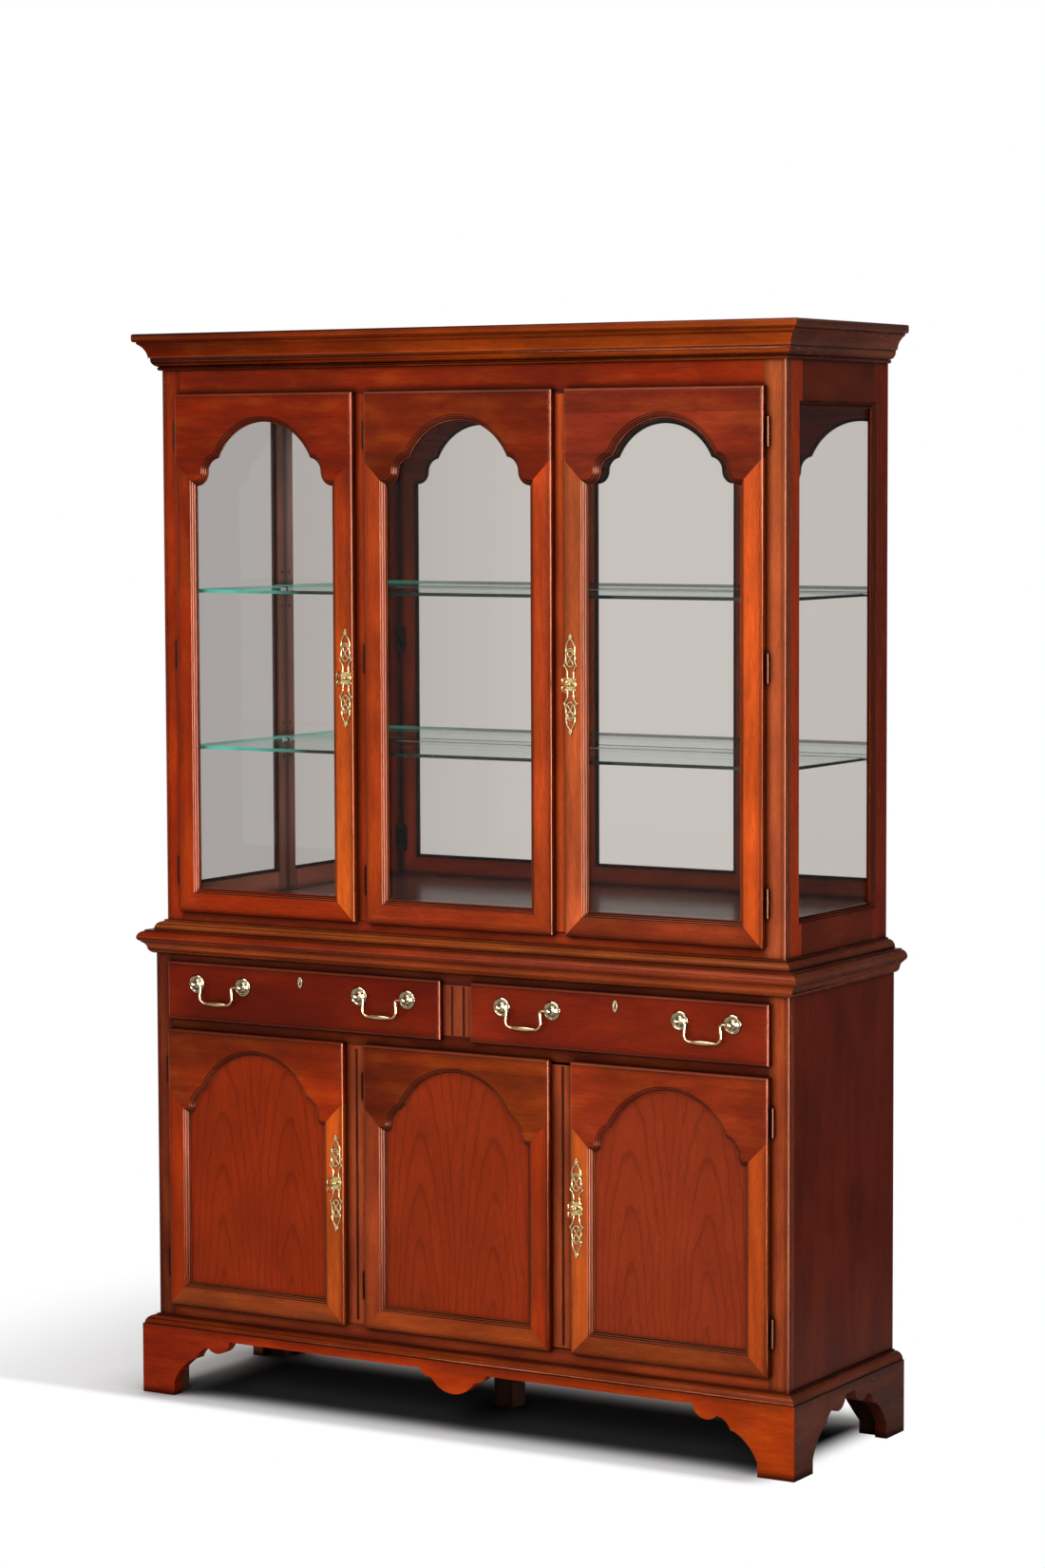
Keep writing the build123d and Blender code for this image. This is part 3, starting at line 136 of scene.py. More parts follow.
# Heads of the doors are glued up from narrow staves of slightly different tone.
stavedFinish = dict(cherryFinish, staveWidth=0.034, staveDepth=0.22, figureSize=(0.012, 0.09),
                    figureDepth=0.16)
# Flat-sawn veneer panels, book-matched: growth rings open into tall arches, one on each leaf.
panelFinish = dict(
    cherryFinish, ringSpacing=0.0125, ringDepth=0.22, earlyTone=1.02,
    lateWood=dict(From_Min=0.70, From_Max=0.97),
    leafCentre=0.075, wanderReach=0.03, wanderSize=(0.05, 0.16), wanderNoise=dict(Detail=3.0, Roughness=0.6),
    heartRise=0.13, heartDepth=0.036,                           # the tree's heart rises slowly along the leaf
    figureDepth=0.07, fibreDepth=0.15, mottleDepth=0.05, cloudDepth=0.10, rimDepth=0.26, goldenAmount=0.04,
)
# Wide drawer fronts and case sides: quiet veneer.
veneerFinish = dict(
    cherryFinish, figureSize=(0.02, 0.09), figureDepth=0.12, mottleSize=(0.09, 0.27), mottleDepth=0.18,
    bump=0.00002, goldenAmount=0.08, roughSpread=0.02,
)
# Thin brown-stained back boards and inside framing: sawn, dull.
innerFinish = dict(cherryFinish, roughness=0.62, specular=0.2, paintedShadeAmount=0.4, fibreDepth=0.16, bump=0.0001,
                   goldenAmount=0.0)
plainCrest = 0.4        # what the crest attribute says on a moulding away from its ridges


def makeWood(name, finish):
    material, tree = newMaterial(name)
    own = {attribute: addNode(tree, "Attribute", {"attribute_name": attribute}).outputs
           for attribute in ("stain", "grain", "seed", "halfSize", "quirk", "crest")}
    grain, crest = own["grain"]["Vector"], own["crest"]["Fac"]
    place = addNode(tree, "VectorMath", {"operation": "MULTIPLY_ADD"}, in0=own["seed"]["Fac"],
                    in1=finish["boardShift"], in2=grain)
    fields = {}
    for pattern in ("fibre", "figure", "mottle", "cloud", "wander"):
        if pattern + "Size" in finish:
            width, length = finish[pattern + "Size"]
            stretched = addNode(tree, "Mapping", Vector=place, Scale=(1 / width, 1 / width, 1 / length))
            noise = addNode(tree, "TexNoise", Vector=stretched, Scale=1.0, **finish[pattern + "Noise"])
            fields[pattern] = noise.outputs["Fac"]

    # every pattern becomes a factor around 1, and the factors shade the wood together
    patterns = [(fields[pattern], finish["patternRange"], finish[pattern + "Depth"])
                for pattern in ("fibre", "figure", "mottle")]
    patterns.append((fields["cloud"], finish["cloudRange"], finish["cloudDepth"]))
    if "staveWidth" in finish:
        across = addNode(tree, "SeparateXYZ", Vector=place).outputs["X"]
        stave = addNode(tree, "Math", {"operation": "DIVIDE"}, in0=across, in1=finish["staveWidth"])
        number = addNode(tree, "Math", {"operation": "FLOOR"}, in0=stave)
        chance = addNode(tree, "TexWhiteNoise", {"noise_dimensions": "1D"}, W=number).outputs["Value"]
        patterns.append((chance, {}, finish["staveDepth"]))
    factors = [addNode(tree, "MapRange", smooth, Value=field, **reach, To_Min=1 - depth,
                       To_Max=1 + depth * finish["lightShare"]) for field, reach, depth in patterns]
    if "ringSpacing" in finish:
        factors.append(growthRings(tree, grain, fields["wander"], finish))
    factors.append(wipedRim(tree, grain, own["halfSize"]["Vector"], fields["mottle"], finish))
    shade = factors[0]
    for factor in factors[1:]:
        shade = addNode(tree, "Math", {"operation": "MULTIPLY"}, in0=shade, in1=factor)

    gold = addNode(tree, "MapRange", smooth, Value=fields["mottle"], **finish["goldenRange"], To_Min=0.0,
                   To_Max=finish["goldenAmount"])
    warmed = addNode(tree, "Mix", {"data_type": "RGBA"}, Factor=gold, in6=own["stain"]["Color"],
                     in7=linearColour(finish["golden"]))
    # the ridges of mouldings are painted lighter: partly wear, partly painted highlight
    ridgeWearAndHighlight = addNode(tree, "MapRange", Value=crest, From_Min=plainCrest, From_Max=1.0, To_Min=0.0,
                   To_Max=finish["crestAmount"])
    crested = addNode(tree, "Mix", {"data_type": "RGBA"}, Factor=ridgeWearAndHighlight, in6=warmed.outputs[2],
                      in7=linearColour(finish["crest"]))
    toned = addNode(tree, "VectorMath", {"operation": "SCALE"}, in0=crested.outputs[2], Scale=shade)

    # painted shade in a near-black glaze colour: darker in every hollow and where parts meet, and a dark line
    # along each inner corner of a moulding's narrow steps
    hollow = addNode(tree, "AmbientOcclusion", {"samples": finish["paintedShadeSamples"]},
                     Distance=finish["paintedShadeReach"])
    paintedHollowShade = addNode(tree, "MapRange", smooth, Value=hollow.outputs["AO"], **finish["hollowRange"],
                     To_Min=finish["paintedShadeAmount"], To_Max=0.0)
    paintedQuirkShade = addNode(tree, "MapRange", smooth, Value=own["quirk"]["Fac"], **finish["lineRange"], To_Min=0.0,
                    To_Max=finish["paintedShadeAmount"])
    spared = addNode(tree, "Math", {"operation": "MULTIPLY_ADD"}, in0=crest, in1=-finish["crestSpared"],
                     in2=1.0)
    paintedShadeOffRidges = addNode(tree, "Math", {"operation": "MULTIPLY"}, in0=paintedHollowShade, in1=spared)
    paintedShadeMask = addNode(tree, "Math", {"operation": "MAXIMUM"}, in0=paintedShadeOffRidges, in1=paintedQuirkShade)
    colour = addNode(tree, "Mix", {"data_type": "RGBA"}, Factor=paintedShadeMask, in6=toned,
                     in7=linearColour(finish["paintedShadeColour"]))

    rough = addNode(tree, "MapRange", Value=fields["figure"], **finish["patternRange"],
                    To_Min=finish["roughness"] + finish["roughSpread"],
                    To_Max=finish["roughness"] - finish["roughSpread"] / 2)
    gloss = addNode(tree, "MapRange", Value=paintedShadeMask, To_Min=finish["specular"],
                    To_Max=finish["specular"] * finish["shineInPaintedShade"])
    eased = addNode(tree, "Bevel", {"samples": finish["edgeSamples"]}, Radius=finish["easedEdge"])
    raised = addNode(tree, "Bump", Strength=1.0, Distance=finish["bump"], Height=fields["fibre"],
                     Normal=eased)
    surface = addNode(tree, "BsdfPrincipled", Base_Color=colour.outputs[2], Roughness=rough,
                      IOR=finish["bend"], Normal=raised, Specular_IOR_Level=gloss,
                      Specular_Tint=linearColour(finish["shine"]))
    addNode(tree, "OutputMaterial", Surface=surface)
    return material


def growthRings(tree, grain, wander, finish):
    # rings around a heart that lies behind the middle of each leaf
    parts = addNode(tree, "SeparateXYZ", Vector=grain)
    leaf = addNode(tree, "Math", {"operation": "ABSOLUTE"}, in0=parts.outputs["X"])
    offset = addNode(tree, "Math", {"operation": "MULTIPLY_ADD"}, in0=wander, in1=finish["wanderReach"],
                     in2=leaf)
    across = addNode(tree, "Math", {"operation": "SUBTRACT"}, in0=offset,
                     in1=finish["leafCentre"] + finish["wanderReach"] / 2)
    lift = addNode(tree, "Math", {"operation": "MULTIPLY_ADD"}, in0=parts.outputs["Z"],
                   in1=finish["heartRise"], in2=finish["heartDepth"])
    square = addNode(tree, "Math", {"operation": "MULTIPLY"}, in0=across, in1=across)
    both = addNode(tree, "Math", {"operation": "MULTIPLY_ADD"}, in0=lift, in1=lift, in2=square)
    radius = addNode(tree, "Math", {"operation": "SQRT"}, in0=both)
    turns = addNode(tree, "Math", {"operation": "DIVIDE"}, in0=radius, in1=finish["ringSpacing"])
    ring = addNode(tree, "Math", {"operation": "FRACT"}, in0=turns)
    return addNode(tree, "MapRange", {"interpolation_type": "SMOOTHERSTEP"}, Value=ring, **finish["lateWood"],
                   To_Min=finish["earlyTone"], To_Max=1 - finish["ringDepth"])


def wipedRim(tree, grain, halfSize, mottle, finish):
    # the long edges of a board come darker out of the wiping, with a wavering border
    spread = addNode(tree, "VectorMath", {"operation": "ABSOLUTE"}, in0=grain)
    inside = addNode(tree, "VectorMath", {"operation": "SUBTRACT"}, in0=halfSize, in1=spread)
    fromEdge = addNode(tree, "SeparateXYZ", Vector=inside).outputs["X"]
    wavering = addNode(tree, "Math", {"operation": "MULTIPLY_ADD"}, in0=mottle, in1=-finish["rimWidth"],
                       in2=fromEdge)
    return addNode(tree, "MapRange", smooth, Value=wavering, From_Min=-finish["rimWidth"] / 2,
                   From_Max=finish["rimWidth"], To_Min=1 - finish["rimDepth"], To_Max=1.0)


woods = {
    "cherry": makeWood("lacqueredCherrySolid", cherryFinish),
    "staved": makeWood("lacqueredCherryStaved", stavedFinish),
    "panel": makeWood("lacqueredCherryPanel", panelFinish),
    "veneer": makeWood("lacqueredCherryVeneer", veneerFinish),
    "inner": makeWood("stainedSawnBoard", innerFinish),
}

# Window glass: clear, with a hard reflection at low angles.
paneLook = dict(clear="#fefefe", share=1.0, shader="BsdfGlass",
                body=dict(Color=linearColour("#fefefe"), Roughness=0.0, IOR=1.22))
# A thick shelf is looked at almost along its face: a pale shine over what lies behind, a breath of green.
shelfLook = dict(clear="#f4f9f7", share=0.30, shader="BsdfGlossy",
                 body=dict(Color=linearColour("#eef4f2"), Roughness=0.02))


def makeGlass(name, look):
    # lamps pass straight through to the shelves behind, as if no glass were there
    material, tree = newMaterial(name)
    path = addNode(tree, "LightPath")
    passing = addNode(tree, "Math", {"operation": "MAXIMUM"}, in0=path.outputs["Is Shadow Ray"],
                      in1=path.outputs["Is Diffuse Ray"])
    seen = addNode(tree, "Math", {"operation": "SUBTRACT"}, in0=1.0, in1=passing)
    share = addNode(tree, "Math", {"operation": "MULTIPLY"}, in0=seen, in1=look["share"])
    clear = addNode(tree, "BsdfTransparent", Color=linearColour(look["clear"]))
    body = addNode(tree, look["shader"], **look["body"])
    addNode(tree, "OutputMaterial", Surface=addNode(tree, "MixShader", in0=share, in1=clear, in2=body))
    return material


clearGlass = makeGlass("clearFloatGlass", paneLook)
shelfGlass = makeGlass("shelfFloatGlass", shelfLook)

# The sawn and polished edge of a thick glass shelf is green glass; its green glow, brightest at the left end,
# is painted light in its colour.
shelfEdge = dict(
    dark=(0.18, "#0f2019"), pale=(0.85, "#5fd0ba"),
    cloud=dict(Scale=28.0, Detail=2.0), cloudShare=0.3,
    paintedBrightEnd=dict(From_Min=-0.62, From_Max=-0.34, To_Min=0.75, To_Max=0.0),
    roughness=0.12, clearness=0.1, bend=1.5,
)
edgeGlass, edgeTree = newMaterial("polishedGlassEdge")
edgePlace = addNode(edgeTree, "TexCoord").outputs["Object"]
edgeCloud = addNode(edgeTree, "TexNoise", Vector=edgePlace, **shelfEdge["cloud"]).outputs["Fac"]
edgeRun = addNode(edgeTree, "SeparateXYZ", Vector=edgePlace).outputs["X"]
paintedEdgeLight = addNode(edgeTree, "MapRange", Value=edgeRun, **shelfEdge["paintedBrightEnd"])
edgeTone = addNode(edgeTree, "ValToRGB", Fac=addNode(
    edgeTree, "Math", {"operation": "MULTIPLY_ADD"}, in0=edgeCloud, in1=shelfEdge["cloudShare"], in2=paintedEdgeLight))
for stop, (position, tint) in zip(edgeTone.color_ramp.elements, (shelfEdge["dark"], shelfEdge["pale"])):
    stop.position = position
    stop.color = linearColour(tint)
edgeSurface = addNode(edgeTree, "BsdfPrincipled", Base_Color=edgeTone, Roughness=shelfEdge["roughness"],
                      IOR=shelfEdge["bend"], Transmission_Weight=shelfEdge["clearness"])
addNode(edgeTree, "OutputMaterial", Surface=edgeSurface)

# Silvered plate glass: nearly perfect reflection, faintly dulled.
mirrorLook = dict(silver="#f2f1ee", haze=dict(Scale=3.0, Detail=2.0), roughness=dict(To_Min=0.0, To_Max=0.02))
mirrorGlass, mirrorTree = newMaterial("silveredMirrorGlass")
haze = addNode(mirrorTree, "TexNoise", Vector=addNode(mirrorTree, "TexCoord").outputs["Object"],
               **mirrorLook["haze"]).outputs["Fac"]
hazeRough = addNode(mirrorTree, "MapRange", Value=haze, **mirrorLook["roughness"])
mirrorSurface = addNode(mirrorTree, "BsdfPrincipled", Base_Color=linearColour(mirrorLook["silver"]),
                        Metallic=1.0, Roughness=hazeRough)
addNode(mirrorTree, "OutputMaterial", Surface=mirrorSurface)

# All metals are bright on the crests, dull in the hollows and a little uneven.
metalFinish = dict(
    metallic=1.0, slopeTone=0.0, slopeRange=dict(From_Min=0.93, From_Max=0.6),
    hollowSamples=4, hollowRange=dict(From_Min=0.45, From_Max=0.95), edgeSamples=6,
    cloud=dict(Scale=60.0, Detail=3.0), cloudRange=dict(From_Min=0.3, From_Max=0.7),
    smoothest=0.75, roughest=1.3,           # shares of the roughness
)


def makeMetal(name, **own):
    finish = dict(metalFinish, **own)
    material, tree = newMaterial(name)
    coords = addNode(tree, "TexCoord").outputs
    clouds = addNode(tree, "TexNoise", Vector=coords["Object"], **finish["cloud"]).outputs["Fac"]
    hollow = addNode(tree, "AmbientOcclusion", {"samples": finish["hollowSamples"], "only_local": True},
                     Distance=finish["hollowReach"]).outputs["AO"]
    dirty = addNode(tree, "MapRange", Value=hollow, **finish["hollowRange"], To_Min=1.0, To_Max=0.0)
    # painted shade: on turned pieces the steep sides of the rings are painted dark, for the dark rings
    # between the bright faces
    facing = addNode(tree, "SeparateXYZ", Vector=coords["Normal"]).outputs["Y"]
    flatness = addNode(tree, "Math", {"operation": "ABSOLUTE"}, in0=facing)
    paintedSteepShade = addNode(tree, "MapRange", smooth, Value=flatness, **finish["slopeRange"], To_Min=0.0,
                    To_Max=finish["slopeTone"])
    tarnishAndPaintedShade = addNode(tree, "Math", {"operation": "MAXIMUM"}, in0=dirty, in1=paintedSteepShade)
    colour = addNode(tree, "Mix", {"data_type": "RGBA"}, Factor=tarnishAndPaintedShade, in6=linearColour(finish["bright"]),
                     in7=linearColour(finish["dull"]))
    rough = addNode(tree, "MapRange", Value=clouds, **finish["cloudRange"],
                    To_Min=finish["roughness"] * finish["smoothest"],
                    To_Max=finish["roughness"] * finish["roughest"])
    eased = addNode(tree, "Bevel", {"samples": finish["edgeSamples"]}, Radius=finish["easedEdge"])
    surface = addNode(tree, "BsdfPrincipled", Base_Color=colour.outputs[2], Metallic=finish["metallic"],
                      Roughness=rough, Normal=eased)
    addNode(tree, "OutputMaterial", Surface=surface)
    return material


# Lacquered cast brass: warm yellow, brown where the buffing doesn't reach.
polishedBrass = makeMetal("polishedLacqueredBrass", bright="#fae6ae", dull="#3c270e", hollowReach=0.0022,
                          roughness=0.19, easedEdge=0.0003)
# Turned brass, polished on the lathe: tarnish in its grooves, and painted shade that darkens the steep sides
# of its rings.
pullBrass = makeMetal("polishedTurnedBrass", bright="#eddcb4", dull="#1c1208", hollowReach=0.006,
                      roughness=0.15, easedEdge=0.0003, slopeTone=0.75)
# Rolled brass gone brown with age: almost no colour left, a dull gleam.
hingeBrass = makeMetal("darkenedHingeBrass", bright="#341d14", dull="#1a0d08", hollowReach=0.003,
                       roughness=0.30, easedEdge=0.0004)
# Nickel-plated pins read as small white dots: their glint is painted into a white colour, with little real
# reflection.
pinWithPaintedGlint = makeMetal("nickelPinPaintedGlint", bright="#ffffff", dull="#f0ece4", hollowReach=0.002,
                      roughness=0.32, easedEdge=0.0003, metallic=0.1)
# Zinc-plated pressed steel: grey and soft.
steelCatch = makeMetal("zincPlatedSteel", bright="#a9a9a6", dull="#4a4a48", hollowReach=0.004,
                       roughness=0.35, easedEdge=0.0006)
print("materials made")


# Each board gets its own stain, and its grain along its length.
boardRules = dict(
    cornersPerMetre=1e5, weldDistance=0.00001,          # corners within a hundredth of a millimetre are one
    seedPerLetter=0.37, seedPerBoard=4.1, seedTurn=23,  # each board starts elsewhere in the pattern
)
mouldingRules = dict(
    narrow=0.0045,                  # the steps of a moulding are narrower than this
    flat=0.9995,                    # a face this square to the case is no moulding
    sharpTurn=0.38, hollowTurn=0.12,
)


def boardNumbers(mesh):
    # the boards of a node follow one another; one ends where all its edges have met
    places = np.zeros(len(mesh.vertices) * 3, np.float32)
    mesh.vertices.foreach_get("co", places)
    snapped = np.round(places.reshape(-1, 3) * boardRules["cornersPerMetre"]).astype(int)
    corners = [tuple(p) for p in snapped.tolist()]
    waiting, number, numbers = set(), 0, np.zeros(len(mesh.polygons), int)
    for face in mesh.polygons:
        loop = [corners[i] for i in face.vertices]
        numbers[face.index] = number
        for a, b in zip(loop, loop[1:] + loop[:1]):
            if a != b:
                waiting ^= {(min(a, b), max(a, b))}
        if not waiting:
            number += 1
    return numbers, number


def faceNumbers(mesh):
    numbers = np.zeros(len(mesh.polygons), int)
    mesh.attributes["board"].data.foreach_get("value", numbers)
    return numbers


def addAttribute(mesh, name, kind, domain, values):
    data = mesh.attributes.new(name, kind, domain).data
    data.foreach_set({"FLOAT_VECTOR": "vector", "FLOAT_COLOR": "color"}.get(kind, "value"), values.ravel())


def dressBoards(name, stains, kinds):
    # stains and kinds: one for each board in order, the last one going on for the rest;
    # a pair of stains runs from the low or left end of the board to the other, and often carries painted
    # light and shade along it
    source = cabinetNodes[name]
    mesh = source.data.copy()
    piece = bpy.data.objects.new(name + "_boards", mesh)
    bpy.context.scene.collection.objects.link(piece)
    numbers, count = boardNumbers(mesh)
    addAttribute(mesh, "board", "INT", "FACE", numbers)
    normals = np.zeros(len(mesh.loops) * 3, np.float32)
    mesh.corner_normals.foreach_get("vector", normals)
    addAttribute(mesh, "packedNormal", "FLOAT_VECTOR", "CORNER", normals)
    mesh.materials.clear()
    used = list(dict.fromkeys(kinds))
    for kind in used:
        mesh.materials.append(woods[kind])
    for face in mesh.polygons:
        face.material_index = used.index(kinds[min(numbers[face.index], len(kinds) - 1)])
    selectOnly(piece)
    bpy.ops.object.mode_set(mode="EDIT")
    bpy.ops.mesh.customdata_custom_splitnormals_clear()
    bpy.ops.object.mode_set(mode="OBJECT")
    bpy.context.tool_settings.mesh_select_mode = (False, False, True)
    for number in range(count):
        # each board is joined up on its own, so the joints between boards stay
        mesh.polygons.foreach_set("select", faceNumbers(mesh) == number)
        bpy.ops.object.mode_set(mode="EDIT")
        bpy.ops.mesh.remove_doubles(threshold=boardRules["weldDistance"])
        bpy.ops.object.mode_set(mode="OBJECT")
    normals = np.zeros(len(mesh.loops) * 3, np.float32)
    mesh.attributes["packedNormal"].data.foreach_get("vector", normals)
    mesh.normals_split_custom_set(normals.reshape(-1, 3).tolist())
    mesh.attributes.remove(mesh.attributes["packedNormal"])
    layGrain(mesh, name, stains)
    if "panel" not in kinds:
        markMouldings(mesh)
    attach(piece, source["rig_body"])
    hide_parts(name)
    return piece


def layGrain(mesh, name, stains):
    # turns the pattern so that the fibres follow the longest side of each board
    places = np.zeros(len(mesh.vertices) * 3)
    mesh.vertices.foreach_get("co", places)
    corners = np.zeros(len(mesh.loops), int)
    mesh.loops.foreach_get("vertex_index", corners)
    spots = places.reshape(-1, 3)[corners]
    sizes = np.zeros(len(mesh.polygons), int)
    mesh.polygons.foreach_get("loop_total", sizes)
    numbers = faceNumbers(mesh)
    cornerBoards = np.repeat(numbers, sizes)
    grain, stain = np.zeros((len(spots), 3)), np.zeros((len(spots), 4))
    seed, halfSize = np.zeros(len(numbers)), np.zeros((len(numbers), 3))
    letters = sum(map(ord, name)) * boardRules["seedPerLetter"]
    for number in range(numbers.max() + 1):
        mine = cornerBoards == number
        low, high = spots[mine].min(0), spots[mine].max(0)
        order = {0: [2, 1, 0], 1: [2, 0, 1], 2: [0, 1, 2]}[int(np.argmax(high - low))]
        grain[mine] = (spots[mine] - (low + high) / 2)[:, order]
        halfSize[numbers == number] = ((high - low) / 2)[order]
        own = stains[min(number, len(stains) - 1)]
        start, end = [np.array(linearColour(c)) for c in ((own, own) if isinstance(own, str) else own)]
        along = grain[mine][:, 2:] / (high - low).max() + 0.5
        stain[mine] = start + (end - start) * along
        seed[numbers == number] = (letters + number * boardRules["seedPerBoard"]) % boardRules["seedTurn"]
    addAttribute(mesh, "grain", "FLOAT_VECTOR", "CORNER", grain)
    addAttribute(mesh, "stain", "FLOAT_COLOR", "CORNER", stain)
    addAttribute(mesh, "seed", "FLOAT", "FACE", seed)
    addAttribute(mesh, "halfSize", "FLOAT_VECTOR", "FACE", halfSize)


def markMouldings(mesh):
    # on the narrow faces of mouldings: quirk is 1 along an inner edge, crest is 1 along an outer one; the
    # wood paints a shade line along quirks and lightens the crests
    width, sides = {}, {}
    for face in mesh.polygons:
        ends = [[mesh.vertices[i].co for i in key] for key in face.edge_keys]
        longest = max((b - a).length for a, b in ends)
        width[face.index] = 2 * face.area / longest if longest else 0
        for key in face.edge_keys:
            sides.setdefault(key, []).append(face)
    narrow, inner, outer = mouldingRules["narrow"], set(), set()
    for key, pair in sides.items():
        if len(pair) != 2:
            continue
        turn = math.acos(max(-1.0, min(1.0, pair[0].normal.dot(pair[1].normal))))
        sharp = turn > mouldingRules["sharpTurn"]
        if pair[0].normal.dot(pair[1].center - pair[0].center) <= 0:
            outer.update(key if sharp else ())
            continue
        # a tight hollow counts as well: many small turns close together
        across = (width[pair[0].index] + width[pair[1].index]) / 2
        if sharp or (turn > mouldingRules["hollowTurn"] and turn > across / narrow):
            inner.update(key)
    quirks, crests = np.zeros((2, len(mesh.loops)), np.float32)
    for face in mesh.polygons:
        if width[face.index] < narrow and max(map(abs, face.normal)) < mouldingRules["flat"]:
            for loop in face.loop_indices:
                corner = mesh.loops[loop].vertex_index
                quirks[loop] = corner in inner
                crests[loop] = 1.0 if corner in outer and corner not in inner else plainCrest
    addAttribute(mesh, "quirk", "FLOAT", "CORNER", quirks)
    addAttribute(mesh, "crest", "FLOAT", "CORNER", crests)


# The stains of each node's boards, in the order of its boards. A face frame begins with its right and left
# stiles, a door with its head, left stile, right stile and bottom rail, a moulding with its front.
# Besides the wood's own tone, many stains hold painted light and shade: a board or one end of it is lighter
# where light falls, as on the right face-frame stile's corner bead and the right end of the buffet top.
hutchCase = dict(
    hutch_face_frame=[("#a74a29", "#ae532a"), ("#9f2b04", "#741f04"), "#8d2c0d", ("#6a1702", "#751c03"),
                      "#8e2d0e"],
    hutch_side_frames=["#e54a0e", "#9d2906", "#72240a", "#611c05", "#94503a"],
    hutch_floor=["#4c2014"],
    hutch_roof=["#6e3222"],
    hutch_back_panel=["#4a3022"],
    mirror_battens=["#3a281e"],
    crown_moulding=[("#5e1601", "#9f3e08"), "#693b32", "#6a2a18"],
    waist_moulding=["#a0491f", "#74331f", "#7a3826"],
)
buffetCase = dict(
    base_face_frame=["#973f1d", "#62210d", ("#6b220c", "#983a17"), "#5b1804", "#5a1e0e", "#7f351c",
                     "#8c3a1c"],
    base_sides=["#7e2105"],
    buffet_top=[("#7e2206", "#9c3a18"), "#7a3a28", "#7a3a28", "#7a2f16"],
    top_bed_moulding=["#a3431a", "#7a3826", "#7a3826"],
    base_moulding=[("#7a280d", "#903813"), "#7a3a28", "#7a3a28"],
    plinth_boards=[("#902001", "#a83703"), "#5d2718", "#8a4a36"],
    base_floor=["#5a2c1c"],
    base_back_panel=["#4a3022"],
    base_partitions=["#5a3a28"],
    base_shelves=["#6e3a24"],
    shelf_cleats=["#5a3a28"],
    foot_blocks=["#33211a"],
)
doorsAndDrawers = dict(
    glass_door_left_frame=[("#771a01", "#6a1703"), ("#992a04", "#6f1d05"), ("#c35519", "#7f2208"),
                           "#8a2604"],
    glass_door_middle_frame=[("#601a04", "#631804"), ("#97340a", "#873012"), ("#a63d14", "#a83a15"),
                             "#852a0d"],
    glass_door_right_frame=[("#742413", "#72210d"), ("#b9522a", "#994823"), ("#d35219", "#bc4c1c"),
                            "#7d2c13"],
    glass_door_middle_astragal=["#ae431a"],
    panel_door_left_frame=[("#6b1e03", "#8c2603"), "#962b01", ("#a84712", "#c14f11"), "#893a16"],
    panel_door_middle_frame=[("#5f1802", "#8c3207"), "#903819", "#942c05", "#923b12"],
    panel_door_right_frame=["#83270c", "#ae4c17", "#a33f10", "#762e10"],
    panel_door_middle_astragal=["#8c3a1c"],
    panel_door_left_panel=["#812304"],
    panel_door_middle_panel=["#832709"],
    panel_door_right_panel=["#812a11"],
    drawer_left_front=["#621001"],
    drawer_right_front=["#7b1e09"],
    drawer_left_box=["#c9a77a"],
    drawer_right_box=["#c9a77a"],
)
# What the boards of a node are made of, where they aren't solid cherry throughout.
boardKinds = dict(
    hutch_side_frames=["cherry", "cherry", "veneer"], hutch_floor=["veneer"], hutch_roof=["inner"],
    hutch_back_panel=["inner"], mirror_battens=["inner"],
    base_sides=["veneer"], buffet_top=["cherry", "cherry", "cherry", "veneer"], base_floor=["inner"],
    base_back_panel=["inner"], base_partitions=["inner"], base_shelves=["inner"], shelf_cleats=["inner"],
    foot_blocks=["inner"],
)
for side in ("left", "right"):
    boardKinds.update({f"drawer_{side}_front": ["veneer"], f"drawer_{side}_box": ["inner"]})
for side in ("left", "middle", "right"):
    boardKinds.update({f"glass_door_{side}_frame": ["staved", "cherry"],
                       f"panel_door_{side}_frame": ["staved", "cherry"],
                       f"panel_door_{side}_panel": ["panel"]})
groups = {"hutch case": hutchCase, "buffet case": buffetCase, "doors and drawers": doorsAndDrawers}
for group, boards in groups.items():
    for name, stains in boards.items():
        kinds = boardKinds.get(name, ["cherry"])
        dressBoards(name, stains, kinds)
    print(group, "dressed:", len(boards))


def finishNode(name, material, hinges=0):
    # glass and metal stay as packed; a door's hardware begins with its hinges, which have darkened
    piece = cabinetNodes[name]
    piece.data.materials.clear()
    piece.data.materials.append(material)
    if hinges:
        piece.data.materials.append(hingeBrass)
        numbers = boardNumbers(piece.data)[0]
        for face in piece.data.polygons:
            face.material_index = 1 if numbers[face.index] < hinges else 0


for side in ("left", "middle", "right"):
    finishNode(f"glass_door_{side}_glass", clearGlass)
    finishNode(f"glass_door_{side}_hardware", polishedBrass, hinges=3)
    finishNode(f"panel_door_{side}_hardware", polishedBrass, hinges=2)
for side in ("left", "right"):
    finishNode(f"glass_door_{side}_key", polishedBrass)
    finishNode(f"panel_door_{side}_key", polishedBrass)
    for part in ("bail_a", "bail_b", "pulls"):
        finishNode(f"drawer_{side}_{part}", pullBrass if part == "pulls" else polishedBrass)
finishNode("case_hinge_leaves", hingeBrass)
finishNode("shelf_pins", pinWithPaintedGlint)
finishNode("door_catches", steelCatch)
finishNode("hutch_side_glass", clearGlass)
finishNode("mirror", mirrorGlass)
finishNode("glass_shelves", shelfGlass)
# the green edge shows at the front and the ends of a shelf, not inside its plate groove
edgeRules = dict(upright=0.5, rearward=0.5, smallest=0.0004)
shelves = cabinetNodes["glass_shelves"].data
shelves.materials.append(edgeGlass)
for face in shelves.polygons:
    outerEdge = abs(face.normal.z) < edgeRules["upright"] and face.normal.y < edgeRules["rearward"]
    face.material_index = 1 if outerEdge and face.area > edgeRules["smallest"] else 0
print("glass and metal finished")


